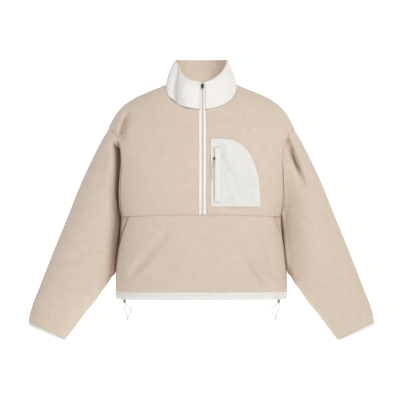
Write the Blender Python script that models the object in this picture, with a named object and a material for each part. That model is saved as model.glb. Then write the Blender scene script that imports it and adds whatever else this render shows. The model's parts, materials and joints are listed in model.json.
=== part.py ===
"""A cropped half-zip fleece pullover, hollow and filled out as if worn, as separate sewn pieces.

Frame: metres, +Z up, +X to the viewer's right, the front faces -Y.
The origin is in the middle of the neck opening, level with the points where the shoulders meet the neck.
Left and right are the viewer's.
"""
import math
from collections import namedtuple

import bmesh
import bpy
from mathutils import Matrix, Vector

# ---------------------------------------------------------------- driving sizes
FLEECE = 0.003            # wall of the pile fleece
WOVEN = 0.0015            # wall of the plain woven trim
LINING = 0.0025           # wall of the collar's fleece lining
SEAM = 0.0003             # space between two pieces that are sewn edge to edge
LAYER = 0.0022            # space between two layers that lie on each other
TRIM_LIFT = 0.0006        # space under trim that lies on a panel
SQUARENESS = 2.3          # exponent of the rounded outline that a level cut through the body has

HEM_TOP = -0.5135         # lower edge of the fleece
HEM_BOTTOM = -0.5340      # lower edge of the casing
UNDERARM = -0.3270        # height where sleeve, front and back meet
SHOULDER_DROP = -0.1075   # height of the dropped armhole's top
NECK_POINT = 0.0030       # height where the shoulder seam meets the collar
FRONT_NECK = -0.0600      # neckline at the centre front
BACK_NECK = 0.0080        # neckline at the centre back
POUCH_TOP = -0.3215       # level seam across the front, at the centre
SLIT_BOTTOM = -0.4100     # lower end of the pouch's hand opening, at the side seam
SLIT_TOP_ANGLE = 62.0     # upper end of it, as an angle round the body from the front
SLIT_LIFT = 0.003         # how far the edge of the hand opening stands open
FOLD_ROOM = 0.0050        # room for the pouch's folds over the lower front, which has none

ZIP_X = 0.0030            # the zip is sewn in a little off the centre
CHAIN_HALF = 0.0016
TAPE_HALF = 0.0093        # half width over both tapes, on the body
COLLAR_TAPE_HALF = 0.0057  # and on the collar
TAPE_SINK = 0.0005
TAPE_TAPER = 0.0020       # the tapes narrow within this height below the collar

# A level cut through the body at each height: half its width, and its depth before and behind the shoulder line.
Level = namedtuple("Level", "height half_width front_depth back_depth")
BODY = [
    Level(0.0120, 0.0560, 0.034, 0.050),
    Level(0.0050, 0.0840, 0.040, 0.057),
    Level(0.0000, 0.0970, 0.045, 0.061),
    Level(-0.0150, 0.1350, 0.055, 0.070),
    Level(-0.0300, 0.1675, 0.065, 0.078),
    Level(-0.0450, 0.1900, 0.075, 0.086),
    Level(-0.0600, 0.2060, 0.083, 0.093),
    Level(-0.0900, 0.2250, 0.097, 0.103),
    Level(-0.1075, 0.2325, 0.104, 0.107),
    Level(-0.1350, 0.2265, 0.111, 0.112),
    Level(-0.1600, 0.2225, 0.116, 0.115),
    Level(-0.2100, 0.2190, 0.121, 0.118),
    Level(-0.2600, 0.2150, 0.123, 0.119),
    Level(-0.3000, 0.2080, 0.123, 0.120),
    Level(-0.3270, 0.2015, 0.123, 0.120),
    Level(-0.3975, 0.2075, 0.122, 0.121),
    Level(-0.4600, 0.2135, 0.120, 0.121),
    Level(-0.5135, 0.2145, 0.118, 0.119),
    Level(-0.5340, 0.2125, 0.116, 0.117),
]

# Folds that are drawn as a stroke in the front (or back) view: both ends, reach to each side, depth (+ is a trough).
Fold = namedtuple("Fold", "face x0 z0 x1 z1 reach depth")
BODY_FOLDS = [
    Fold("front", -0.1830, -0.0740, -0.1990, -0.1320, 0.010, 0.0065),
    Fold("front", 0.2010, -0.0840, 0.2040, -0.1300, 0.010, 0.0040),
    Fold("front", 0.0600, -0.3850, 0.1520, -0.4720, 0.014, -0.0045),
    Fold("front", 0.1520, -0.4720, 0.1970, -0.5030, 0.010, -0.0035),
    Fold("front", 0.1420, -0.3600, 0.1720, -0.4600, 0.011, 0.0045),
    Fold("front", 0.0970, -0.4230, 0.1520, -0.4980, 0.011, 0.0045),
    Fold("front", -0.0910, -0.3730, -0.1530, -0.4480, 0.014, 0.0040),
    Fold("front", -0.1530, -0.4480, -0.1720, -0.4750, 0.009, 0.0035),
    Fold("front", -0.1150, -0.4300, -0.1850, -0.4900, 0.012, -0.0030),
    Fold("back", -0.1300, -0.1700, -0.0950, -0.3400, 0.020, 0.0060),
    Fold("back", 0.1350, -0.1600, 0.1050, -0.3100, 0.018, 0.0055),
    Fold("back", -0.0200, -0.3000, -0.0500, -0.4700, 0.018, 0.0050),
    Fold("back", 0.0450, -0.2700, 0.0650, -0.4500, 0.020, 0.0045),
    Fold("back", 0.1200, -0.3900, 0.1650, -0.4800, 0.014, 0.0045),
    Fold("back", -0.1300, -0.4000, -0.1700, -0.4750, 0.014, 0.0040),
]
SLEEVE_FOLDS = [
    Fold("front", -0.2035, -0.1500, -0.2060, -0.3350, 0.0060, 0.0300),
    Fold("front", 0.2035, -0.1420, 0.2060, -0.3350, 0.0060, 0.0060),
    Fold("front", 0.2140, -0.1300, 0.2520, -0.2380, 0.011, 0.0075),
    Fold("front", 0.2950, -0.4150, 0.3550, -0.4350, 0.012, 0.0030),
    Fold("front", -0.3050, -0.4250, -0.3600, -0.4400, 0.012, 0.0030),
    Fold("front", -0.2450, -0.1700, -0.2600, -0.2600, 0.012, 0.0030),
    Fold("back", 0.2350, -0.1700, 0.2800, -0.3000, 0.014, 0.0060),
    Fold("back", -0.2350, -0.1700, -0.2750, -0.2900, 0.014, 0.0060),
    Fold("back", 0.2900, -0.4100, 0.3600, -0.4300, 0.013, 0.0045),
    Fold("back", -0.2900, -0.4150, -0.3600, -0.4350, 0.013, 0.0045),
]

# How far the armhole is drawn round from the side of the body, in degrees, at its widest.
ARMHOLE_REACH = {("left", "front"): 28.0, ("right", "front"): 25.0, ("left", "back"): 27.0, ("right", "back"): 27.0}

# The sleeve's two edges as the front view shows them, from the armhole to the end of the cuff.
Edge = namedtuple("Edge", "x height")
SLEEVE_OUTER = [
    Edge(0.2325, -0.1075), Edge(0.2490, -0.1350), Edge(0.2720, -0.1800), Edge(0.3000, -0.2400),
    Edge(0.3360, -0.3300), Edge(0.3725, -0.4200), Edge(0.4075, -0.5100), Edge(0.4240, -0.5530),
    Edge(0.4300, -0.5780), Edge(0.4318, -0.5975),
]
SLEEVE_INNER = [
    Edge(0.2015, -0.3270), Edge(0.2068, -0.3450), Edge(0.2105, -0.3800), Edge(0.2132, -0.4150),
    Edge(0.2168, -0.4450), Edge(0.2215, -0.4680), Edge(0.2325, -0.4920), Edge(0.2458, -0.5100),
    Edge(0.2658, -0.5400), Edge(0.2908, -0.5700), Edge(0.3133, -0.6000), Edge(0.3423, -0.6375),
]
# The sleeve's thickness from front to back along it, and how far back its middle hangs on each side.
Girth = namedtuple("Girth", "share half_depth left_back right_back")
SLEEVE_GIRTHS = [
    Girth(0.00, 0.0620, 0.0040, 0.0000),
    Girth(0.06, 0.0680, 0.0080, -0.0010),
    Girth(0.12, 0.0710, 0.0100, -0.0020),
    Girth(0.25, 0.0700, 0.0100, -0.0040),
    Girth(0.50, 0.0580, 0.0060, -0.0080),
    Girth(0.75, 0.0460, -0.0020, -0.0130),
    Girth(0.90, 0.0370, -0.0080, -0.0160),
    Girth(1.00, 0.0300, -0.0110, -0.0180),
]
SLEEVE_RINGS = [0.014, 0.030, 0.050, 0.080, 0.12, 0.175, 0.24, 0.305, 0.37, 0.435, 0.50, 0.56,
                0.62, 0.68, 0.74, 0.80, 0.86, 0.92, 0.982]
ARMHOLE_FADE = 0.14       # share of the sleeve over which its outline leaves the armhole's own shape
SLEEVE_SQUARENESS = 2.2
STAND_OFF = 0.0025        # how far the sleeve's cloth stands off the armhole's seam under the arm
SLEEVE_CLEAR = 0.0015     # space between the sleeve and the side of the body
BINDING_START = 0.9828

COLLAR_HALF_WIDTH = 0.0665
COLLAR_TOP = 0.0660       # level top edge at the back
COLLAR_DIP = 0.0585       # how far the top edge falls towards the zip
COLLAR_FRONT = 0.0700     # from the origin forward to the top edge at the zip
COLLAR_BACK = 0.0600      # and back to the top edge behind
COLLAR_BULGE = 0.0035
LINING_RISE = 0.0020      # the lining is turned over the top edge by this much
# Dents down the collar: place at the top and at the base in degrees from the zip, reach, depth.
Dent = namedtuple("Dent", "top base reach depth")
COLLAR_DENTS = [
    Dent(-66.0, -44.0, 7.0, 0.0085),
    Dent(-28.0, -20.0, 8.0, 0.0020),
    Dent(40.0, 34.0, 9.0, 0.0015),
    Dent(118.0, 108.0, 12.0, 0.0030),
    Dent(-140.0, -128.0, 12.0, 0.0025),
]

POCKET_LEFT = 0.0228
POCKET_FLAT_TOP = 0.0517  # the top edge is level as far as this
POCKET_RIGHT = 0.1455
POCKET_TOP = -0.1333
POCKET_BOTTOM = -0.3012
POCKET_ROUND = 2.4        # exponent of the rounded corner
FLAP_LEFT = 0.0332        # the strip that shields the pocket's zip
FLAP_RIGHT = 0.0475
FLAP_TOP = -0.1560
FLAP_BOTTOM = -0.2880
POCKET_CHAIN_HALF = 0.0012
POCKET_SLIDER_HEIGHT = -0.1830

CORD_RADIUS = 0.0011
FERRULE_X = {"left": -0.1908, "right": 0.1924}
FERRULE_BACK = 0.0012     # the ferrule's middle behind the outside of the casing

# The slider: its body, the bridge over it, and the pull tab that swings on the bar under the bridge.
SLIDER_SIZE = (0.0070, 0.0026, 0.0090)
SLIDER_BEVEL = 0.0007
SLIDER_SHARE = 0.86       # its place up the collar
BAR_OUT = 0.00125         # from the slider's face to the pull tab's bar
BAR_UP = 0.0022           # from the slider's middle up to it
BRIDGE_RADIUS = 0.0006
# The bridge's wire, from above the bar to below it: distance out from the slider's face, and height over the bar.
Wire = namedtuple("Wire", "out height")
BRIDGE = [Wire(SEAM, 0.0016), Wire(0.0024, 0.0014), Wire(0.0030, 0.0008), Wire(0.0030, -0.0026),
          Wire(0.0024, -0.0032), Wire(SEAM, -0.0034)]
TAB_HALF = 0.0026
TAB_LENGTH = 0.0105
TAB_THICK = 0.0009
TAB_HOLE_HALF = 0.0016
TAB_HOLE_LENGTH = 0.0046
TAB_BAR = 0.0009
STOP_SIZE = (0.0044, 0.0014, 0.0040)
STOP_OUT = 0.0018         # from the body's surface to the middle of the bottom stop
STOP_UP = 0.0040          # from the seam across the front up to it
POCKET_SLIDER_SIZE = (0.0042, 0.0018, 0.0062)
CHAIN_THICK = 0.0022
CHAIN_PROUD = 0.0004      # the chain stands this far over the tapes
POCKET_CHAIN_THICK = 0.0010

# Routes of a drawcord's two strands from the ferrule down: outward is away from the garment's middle.
CORD_END_IN = 0.0079      # the cord end hangs this far towards the middle from its ferrule
CORD_END_TOP = -0.5730
STRAND_END = CORD_END_TOP + 0.0006
Spot = namedtuple("Spot", "outward deep height")
STRAIGHT_STRAND = [
    Spot(0.0013, 0.0000, -0.5365), Spot(0.0012, 0.0003, -0.5440), Spot(0.0006, 0.0008, -0.5530),
    Spot(-0.0018, 0.0010, -0.5620), Spot(-0.0052, 0.0003, -0.5690), Spot(-0.0066, 0.0000, STRAND_END),
]
BOWED_STRAND = [
    Spot(-0.0013, 0.0000, -0.5365), Spot(-0.0016, -0.0004, -0.5410), Spot(-0.0090, -0.0020, -0.5475),
    Spot(-0.0160, -0.0028, -0.5550), Spot(-0.0172, -0.0026, -0.5610), Spot(-0.0142, -0.0014, -0.5665),
    Spot(-0.0107, -0.0004, -0.5697), Spot(-0.0092, 0.0000, -0.5711), Spot(-0.0092, 0.0000, STRAND_END),
]
# The soft cord on the chest pocket's slider, from the slider down, as front-view places.
PULL_CORD = [(0.0310, -0.1875), (0.0288, -0.1945), (0.0270, -0.2020), (0.0262, -0.2110), (0.0260, -0.2200),
             (0.0262, -0.2280), (0.0270, -0.2360)]
PULL_CORD_RADIUS = 0.0009
# Turned pieces: radius, and height from the top.
Turn = namedtuple("Turn", "radius height")
FERRULE = [Turn(0.0027, 0.0), Turn(0.0046, 0.0), Turn(0.0040, -0.0020), Turn(0.0033, -0.0050),
           Turn(0.0027, -0.0050)]
CORD_END = [Turn(0.0, 0.0), Turn(0.0024, -0.0002), Turn(0.0029, -0.0030), Turn(0.0026, -0.0080),
            Turn(0.0014, -0.0110), Turn(0.0, -0.0114)]

# Heights of the rows over the lower front and the pouch.
LOWER_LEVELS = [HEM_TOP, -0.490, -0.465, -0.437, SLIT_BOTTOM, -0.388, -0.366, -0.344, POUCH_TOP - SEAM]
CASING_THICK = 0.0024
CASING_SWELL = 0.0010

# Points along the cloth, and smooth steps for measuring it.
ARMHOLE_STEPS = 12
SHOULDER_STEPS = 6
FRONT_COLUMNS = 10
BACK_COLUMNS = 9
BACK_ROWS = 7             # from the hem up to the underarm
COLLAR_ROWS = 5
ZIP_ROWS = 12             # on the body
POCKET_ROWS = 11
POCKET_COLUMNS = 8
FLAP_ROWS = 8
CASING_COLUMNS = 44
POUCH_COLUMNS = 8
DENSE = 120

COLOURS = {
    "fleece": ((0.68, 0.56, 0.47), 0.95, 0.0),
    "woven": ((0.83, 0.82, 0.79), 0.70, 0.0),
    "tape": ((0.80, 0.74, 0.66), 0.75, 0.0),
    "chain": ((0.62, 0.59, 0.54), 0.45, 0.0),
    "gunmetal": ((0.05, 0.048, 0.045), 0.35, 0.9),
    "steel": ((0.45, 0.44, 0.43), 0.40, 0.8),
    "cord": ((0.78, 0.78, 0.77), 0.70, 0.0),
}


# ---------------------------------------------------------------- scene and materials
def clear_scene():
    """Takes every object out of the scene."""
    for item in list(bpy.data.objects):
        bpy.data.objects.remove(item, do_unlink=True)


def new_collection(name):
    """A collection of that name in the scene."""
    group = bpy.data.collections.new(name)
    bpy.context.scene.collection.children.link(group)
    return group


def finish(item, colour_name):
    """Gives an object its own material, in one of the garment's colours."""
    colour, roughness, metallic = COLOURS[colour_name]
    material = bpy.data.materials.new(item.name + "_" + colour_name)
    material.use_nodes = True
    shader = material.node_tree.nodes["Principled BSDF"]
    shader.inputs["Base Color"].default_value = (*colour, 1.0)
    shader.inputs["Roughness"].default_value = roughness
    shader.inputs["Metallic"].default_value = metallic
    item.data.materials.append(material)


def add_mesh(name, work, colour_name, group):
    """Makes a named object of a bmesh, shaded smooth with sharp rims."""
    bmesh.ops.recalc_face_normals(work, faces=work.faces)
    mesh = bpy.data.meshes.new(name)
    work.to_mesh(mesh)
    work.free()
    mesh.shade_smooth()
    mesh.set_sharp_from_angle(angle=math.radians(50.0))
    item = bpy.data.objects.new(name, mesh)
    group.objects.link(item)
    finish(item, colour_name)
    return item


# ---------------------------------------------------------------- smooth curves through short tables
class Smooth:
    """A smooth curve through (place, value) pairs that doesn't overshoot between them."""

    def __init__(self, pairs):
        pairs = sorted(pairs)
        self.places = [pair[0] for pair in pairs]
        self.values = [pair[1] for pair in pairs]
        count = len(pairs)
        gaps = [self.places[i + 1] - self.places[i] for i in range(count - 1)]
        rises = [(self.values[i + 1] - self.values[i]) / gaps[i] for i in range(count - 1)]
        self.slopes = [rises[0]]
        for i in range(1, count - 1):
            before = rises[i - 1]
            after = rises[i]
            if before * after <= 0.0:
                self.slopes.append(0.0)
                continue
            one = 2.0 * gaps[i] + gaps[i - 1]
            two = gaps[i] + 2.0 * gaps[i - 1]
            self.slopes.append((one + two) / (one / before + two / after))
        self.slopes.append(rises[-1])

    def __call__(self, place):
        """The value at a place, held level past both ends."""
        place = min(max(place, self.places[0]), self.places[-1])
        i = 0
        while i < len(self.places) - 2 and place > self.places[i + 1]:
            i += 1
        gap = self.places[i + 1] - self.places[i]
        t = (place - self.places[i]) / gap
        rise_in = (1.0 + 2.0 * t) * (1.0 - t) ** 2 * self.values[i]
        rise_out = t * t * (3.0 - 2.0 * t) * self.values[i + 1]
        lean_in = t * (1.0 - t) ** 2 * gap * self.slopes[i]
        lean_out = t * t * (t - 1.0) * gap * self.slopes[i + 1]
        return rise_in + rise_out + lean_in + lean_out


half_width = Smooth([(level.height, level.half_width) for level in BODY])
depth_of = {
    "front": Smooth([(level.height, level.front_depth) for level in BODY]),
    "back": Smooth([(level.height, level.back_depth) for level in BODY]),
}
FACE_SIGN = {"front": -1.0, "back": 1.0}
SIDE_SIGN = {"left": -1.0, "right": 1.0}


def mix(one, two, share):
    """One value or vector moved towards another by a share."""
    return one + (two - one) * share


def stroke_depth(folds, face, x, z):
    """How deep the folds on a face are at a place in its view."""
    total = 0.0
    for fold in folds:
        if fold.face != face:
            continue
        run = Vector((fold.x1 - fold.x0, fold.z1 - fold.z0))
        here = Vector((x - fold.x0, z - fold.z0))
        share = min(max(here.dot(run) / run.length_squared, 0.0), 1.0)
        away = (here - run * share).length / fold.reach
        total += fold.depth * math.exp(-away * away)
    return total


# ---------------------------------------------------------------- the body's surface
def body_point(x, z, face, folded=True):
    """The point of the body's outer surface, with or without its folds, that a place in a view shows."""
    share = min(abs(x) / half_width(z), 1.0)
    depth = depth_of[face](z) * (1.0 - share ** SQUARENESS) ** (1.0 / SQUARENESS)
    sign = FACE_SIGN[face]
    y = sign * (depth + SEAM / 2.0)
    if folded:
        fade = math.sqrt(max(1.0 - share ** 8, 0.0))
        y -= sign * fade * stroke_depth(BODY_FOLDS, face, x, z)
    return Vector((x, y, z))


def body_inward(x, z, face):
    """The direction into the body, square to its smooth surface at that place."""
    width = half_width(z)
    depth = depth_of[face](z)
    share = min(abs(x) / width, 1.0)
    reach = (1.0 - share ** SQUARENESS) ** (1.0 / SQUARENESS)
    step = 0.0005
    width_slope = (half_width(z + step) - half_width(z - step)) / (2.0 * step)
    depth_slope = (depth_of[face](z + step) - depth_of[face](z - step)) / (2.0 * step)
    out_x = math.copysign(share ** (SQUARENESS - 1.0) / width, x)
    out_y = FACE_SIGN[face] * reach ** (SQUARENESS - 1.0) / depth
    out_z = -(share ** SQUARENESS) * width_slope / width - reach ** SQUARENESS * depth_slope / depth
    return -Vector((out_x, out_y, out_z)).normalized()


def evenly(path, face, count):
    """Picks count + 1 places of a front-view path that are evenly spaced along the cloth."""
    points = [body_point(x, z, face) for x, z in path]
    lengths = [0.0]
    for i in range(1, len(points)):
        lengths.append(lengths[-1] + (points[i] - points[i - 1]).length)
    picked = []
    i = 0
    for k in range(count + 1):
        want = lengths[-1] * k / count
        while i < len(lengths) - 2 and lengths[i + 1] < want:
            i += 1
        share = (want - lengths[i]) / max(lengths[i + 1] - lengths[i], 1e-9)
        one = Vector(path[i])
        two = Vector(path[i + 1])
        picked.append(tuple(mix(one, two, min(share, 1.0))))
    return picked


def width_at_angle(z, angle):
    """The front-view x of the body at a height and an angle round from the front, in degrees."""
    return half_width(z) * math.sin(math.radians(angle)) ** (2.0 / SQUARENESS)


def armhole(side, face):
    """The armhole from the underarm up to the shoulder's end, as (x, z) with x outward."""
    reach = ARMHOLE_REACH[(side, face)]
    path = []
    for k in range(DENSE + 1):
        u = k / DENSE
        z = mix(UNDERARM, SHOULDER_DROP, 1.0 - (1.0 - u) ** 1.8)
        angle = 90.0 - reach * max(math.sin(math.pi * u), 0.0) ** 0.6
        path.append((width_at_angle(z, angle), z))
    return evenly(path, face, ARMHOLE_STEPS)


def shoulder(face):
    """The shoulder seam from the armhole's top to the neck."""
    path = []
    for k in range(DENSE + 1):
        z = mix(SHOULDER_DROP, NECK_POINT, k / DENSE)
        path.append((half_width(z), z))
    return evenly(path, face, SHOULDER_STEPS)


def across(start, edge, centre_height, bend, face, count):
    """Places from x = start out to a panel's edge, level at the centre and rising to the edge."""
    edge_x, edge_z = edge
    first = math.asin(min(start / edge_x, 1.0))
    path = []
    for k in range(DENSE + 1):
        angle = mix(first, math.pi / 2.0, k / DENSE)
        fall = max(math.cos(angle), 0.0) ** (2.0 / bend)
        path.append((edge_x * math.sin(angle), edge_z - (edge_z - centre_height) * fall))
    return evenly(path, face, count)


def upper_rows(side, face, start, seam_height, neck_height, columns):
    """Rows of places of one half of a panel, from the underarm's level to the neckline, x outward."""
    edges = armhole(side, face) + shoulder(face)[1:]
    last = len(edges) - 1
    rows = []
    for k, edge in enumerate(edges):
        bend = 1.0 + 1.4 * max(k - ARMHOLE_STEPS, 0) / SHOULDER_STEPS
        centre = mix(seam_height, neck_height, k / last)
        rows.append(across(start, edge, centre, bend, face, columns))
    return rows


# ---------------------------------------------------------------- cloth walls
def cloth(name, outer, inward, thickness, colour_name, group, closed=False):
    """A wall of cloth through rows of outer points.

    Its inner face is the outer one moved inward along given directions, so that the walls of two pieces stay
    a seam's width apart all through their thickness.
    """
    rows = len(outer)
    columns = len(outer[0])
    work = bmesh.new()
    made = bmesh.ops.create_grid(work, x_segments=columns - 1, y_segments=rows - 1, size=0.5)
    into = {}
    for vert in made["verts"]:
        column = round((vert.co.x + 0.5) * (columns - 1))
        row = round((vert.co.y + 0.5) * (rows - 1))
        vert.co = outer[row][column]
        into[tuple(round(value, 7) for value in vert.co)] = inward[row][column]
    if closed:
        bmesh.ops.remove_doubles(work, verts=work.verts, dist=1e-6)
    everything = work.verts[:] + work.edges[:] + work.faces[:]
    grown = bmesh.ops.extrude_face_region(work, geom=everything, use_keep_orig=True)
    for part in grown["geom"]:
        if isinstance(part, bmesh.types.BMVert):
            part.co = part.co + into[tuple(round(value, 7) for value in part.co)] * thickness
    return add_mesh(name, work, colour_name, group)


def on_body(places, face, sink=0.0, folded=True):
    """Outer points and inward directions for rows of front-view places, sunk under the body's surface."""
    outer = []
    inward = []
    for row in places:
        directions = [body_inward(x, z, face) for x, z in row]
        inward.append(directions)
        outer.append([body_point(*place, face, folded) + way * sink for place, way in zip(row, directions)])
    return outer, inward


def flatten(inward, rows, columns, axis):
    """Takes one axis out of the directions along a seam, so that the wall's rim stands square to it."""
    for row in rows:
        for column in columns:
            way = inward[row][column].copy()
            way[axis] = 0.0
            inward[row][column] = way.normalized()


def inward_of(outer, closed=False):
    """Directions towards the middle of each row of a tube, square to the surface."""
    rows = len(outer)
    columns = len(outer[0])
    result = []
    for r in range(rows):
        middle = sum(outer[r], Vector()) / columns
        line = []
        for c in range(columns):
            if closed:
                before = outer[r][(c - 1) % (columns - 1)]
                after = outer[r][(c + 1) % (columns - 1)]
            else:
                before = outer[r][max(c - 1, 0)]
                after = outer[r][min(c + 1, columns - 1)]
            along = outer[min(r + 1, rows - 1)][c] - outer[max(r - 1, 0)][c]
            way = (after - before).cross(along).normalized()
            if way.dot(middle - outer[r][c]) < 0.0:
                way = -way
            line.append(way)
        result.append(line)
    return result


def moved(outer, inward, distance):
    """Rows of points moved inward by a distance."""
    result = []
    for points, ways in zip(outer, inward):
        result.append([point + way * distance for point, way in zip(points, ways)])
    return result


# ---------------------------------------------------------------- body panels
def back_panel(group):
    """The back, from the hem to the neckline."""
    rows = []
    for k in range(BACK_ROWS):
        z = mix(HEM_TOP, UNDERARM, k / BACK_ROWS)
        rows.append(across(0.0, (half_width(z), z), z, 1.0, "back", BACK_COLUMNS))
    rows += upper_rows("right", "back", 0.0, UNDERARM, BACK_NECK, BACK_COLUMNS)
    whole = [[(-x, z) for x, z in reversed(row[1:])] + row for row in rows]
    outer, inward = on_body(whole, "back")
    top = len(whole) - 1
    lower = range(BACK_ROWS + 1)
    shoulders = range(top - SHOULDER_STEPS, top + 1)
    flatten(inward, lower, (0, -1), 1)
    flatten(inward, shoulders, (0, -1), 1)
    flatten(inward, (0,), range(len(whole[0])), 2)
    cloth("back_panel", outer, inward, FLEECE, "fleece", group)
    return outer, inward


def front_upper(side, group):
    """One upper front, from the level seam to the neckline, beside the zip."""
    sign = SIDE_SIGN[side]
    start = TAPE_HALF + SEAM + sign * ZIP_X
    rows = upper_rows(side, "front", start, POUCH_TOP, FRONT_NECK, FRONT_COLUMNS)
    places = [[(sign * x, z) for x, z in row] for row in rows]
    outer, inward = on_body(places, "front")
    top = len(places) - 1
    flatten(inward, range(top + 1), (0,), 0)
    flatten(inward, range(top - SHOULDER_STEPS, top + 1), (-1,), 1)
    flatten(inward, (0,), range(len(places[0])), 2)
    cloth("front_upper_" + side, outer, inward, FLEECE, "fleece", group)
    return outer, inward


def seam_height(x):
    """The height of the seam across the front."""
    return mix(POUCH_TOP, UNDERARM, (x / half_width(UNDERARM)) ** 2)


def slit_angle(z):
    """The angle round the body at which the pouch ends, at a height."""
    share = (z - SLIT_BOTTOM) / (POUCH_TOP - SLIT_BOTTOM)
    return mix(90.0, SLIT_TOP_ANGLE, min(max(share, 0.0), 1.0))


def lower_places(levels, angle_of, columns):
    """Rows over the lower front that end at an angle round the body, their top row on the level seam."""
    rows = []
    top = levels[-1]
    for z in levels:
        angle = angle_of(z)
        height = z
        if z == top:
            height = seam_height(width_at_angle(z, angle)) - SEAM
        edge = (width_at_angle(height, angle), height)
        half = across(0.0, edge, z, 1.0, "front", columns)
        rows.append([(-x, q) for x, q in reversed(half[1:])] + half)
    return rows


def kangaroo_pouch(group):
    """The pouch over the lower front, with a slanted hand opening on each side."""
    levels = LOWER_LEVELS
    places = lower_places(levels, slit_angle, POUCH_COLUMNS)
    outer, inward = on_body(places, "front")
    slit_rows = len(levels) - levels.index(SLIT_BOTTOM) - 1
    for k in range(1, slit_rows):
        row = len(levels) - 1 - slit_rows + k
        lift = SLIT_LIFT * math.sin(math.pi * k / slit_rows)
        for column in (0, -1):
            outer[row][column] = outer[row][column] - inward[row][column] * lift
        for column in (1, -2):
            outer[row][column] = outer[row][column] - inward[row][column] * lift * 0.4
    flatten(inward, range(len(levels) - slit_rows), (0, -1), 1)
    flatten(inward, (0, -1), range(len(places[0])), 2)
    cloth("kangaroo_pouch", outer, inward, FLEECE, "fleece", group)


def front_lower(group):
    """The lower front that lies under the pouch and shows in its hand openings."""
    levels = LOWER_LEVELS
    places = lower_places(levels, lambda z: 90.0, POUCH_COLUMNS)
    outer, inward = on_body(places, "front", folded=False)
    flatten(inward, range(len(levels)), (0, -1), 1)
    flatten(inward, (0, -1), range(len(places[0])), 2)
    for row, level in enumerate(levels):
        bare = min(max((level - SLIT_BOTTOM - 0.02) / 0.03, 0.0), 1.0)
        edge = abs(places[row][0][0])
        for column, (x, _) in enumerate(places[row]):
            at_side = 1.0 if column in (0, len(places[row]) - 1) else 0.0
            room = FOLD_ROOM * (1.0 - (x / edge) ** 4)
            sink = (FLEECE + LAYER + room) * (1.0 - bare * at_side)
            outer[row][column] = outer[row][column] + inward[row][column] * sink
    cloth("front_lower", outer, inward, FLEECE, "fleece", group)


# ---------------------------------------------------------------- sleeves
def path_at(edges, share):
    """The place on a sleeve's edge after a share of its length."""
    points = [Vector((edge.x, edge.height)) for edge in edges]
    lengths = [0.0]
    for i in range(1, len(points)):
        lengths.append(lengths[-1] + (points[i] - points[i - 1]).length)
    x_along = Smooth([(lengths[i], points[i].x) for i in range(len(points))])
    z_along = Smooth([(lengths[i], points[i].y) for i in range(len(points))])
    return Vector((x_along(share * lengths[-1]), 0.0, z_along(share * lengths[-1])))


def sleeve_ring(side, share):
    """The sleeve's outline after a share of its length: from its outer edge round the front, and back to it."""
    sign = SIDE_SIGN[side]
    outer = path_at(SLEEVE_OUTER, share)
    inner = path_at(SLEEVE_INNER, share)
    half_depth = Smooth([(girth.share, girth.half_depth) for girth in SLEEVE_GIRTHS])(share)
    back = Smooth([(girth.share, getattr(girth, side + "_back")) for girth in SLEEVE_GIRTHS])(share)
    middle = (outer + inner) / 2.0
    half = (outer - inner) / 2.0
    ring = []
    for k in range(2 * ARMHOLE_STEPS + 1):
        angle = math.pi * k / ARMHOLE_STEPS
        across_share = math.copysign(abs(math.cos(angle)) ** (2.0 / SLEEVE_SQUARENESS), math.cos(angle))
        depth_share = math.copysign(abs(math.sin(angle)) ** (2.0 / SLEEVE_SQUARENESS), math.sin(angle))
        point = middle + half * across_share
        ring.append(Vector((sign * point.x, back - half_depth * depth_share, point.z)))
    return ring


def folded_ring(side, share, plain, armhole_ring):
    """A plain ring with the armhole's shape fading out of it, and the sleeve's folds, clear of the body."""
    start = sleeve_ring(side, 0.0)
    fade = max(1.0 - share / ARMHOLE_FADE, 0.0) ** 2
    sign = SIDE_SIGN[side]
    ring = []
    for k, point in enumerate(plain):
        here = point + (armhole_ring[k] - start[k]) * fade
        face = "front" if k < ARMHOLE_STEPS else "back"
        turn = abs(math.sin(math.pi * k / ARMHOLE_STEPS)) ** (2.0 / SLEEVE_SQUARENESS)
        here.y -= FACE_SIGN[face] * turn * stroke_depth(SLEEVE_FOLDS, face, here.x, here.z)
        if here.z > HEM_BOTTOM:
            depth = depth_of["front" if here.y < 0.0 else "back"](here.z)
            reach = min(abs(here.y) / depth, 1.0)
            side_x = half_width(here.z) * (1.0 - reach ** SQUARENESS) ** (1.0 / SQUARENESS)
            clear_x = side_x + SLEEVE_CLEAR * under_arm(k)
            here.x = sign * max(sign * here.x, clear_x * under_arm(k))
        ring.append(here)
    return ring


def under_arm(k):
    """How much a place on the sleeve's ring belongs to its lower half: 0 on the shoulder, 1 under the arm."""
    low = 0.5 - 0.5 * math.cos(math.pi * k / ARMHOLE_STEPS)
    share = min(max((low - 0.30) / 0.35, 0.0), 1.0)
    return share * share * (3.0 - 2.0 * share)


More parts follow.
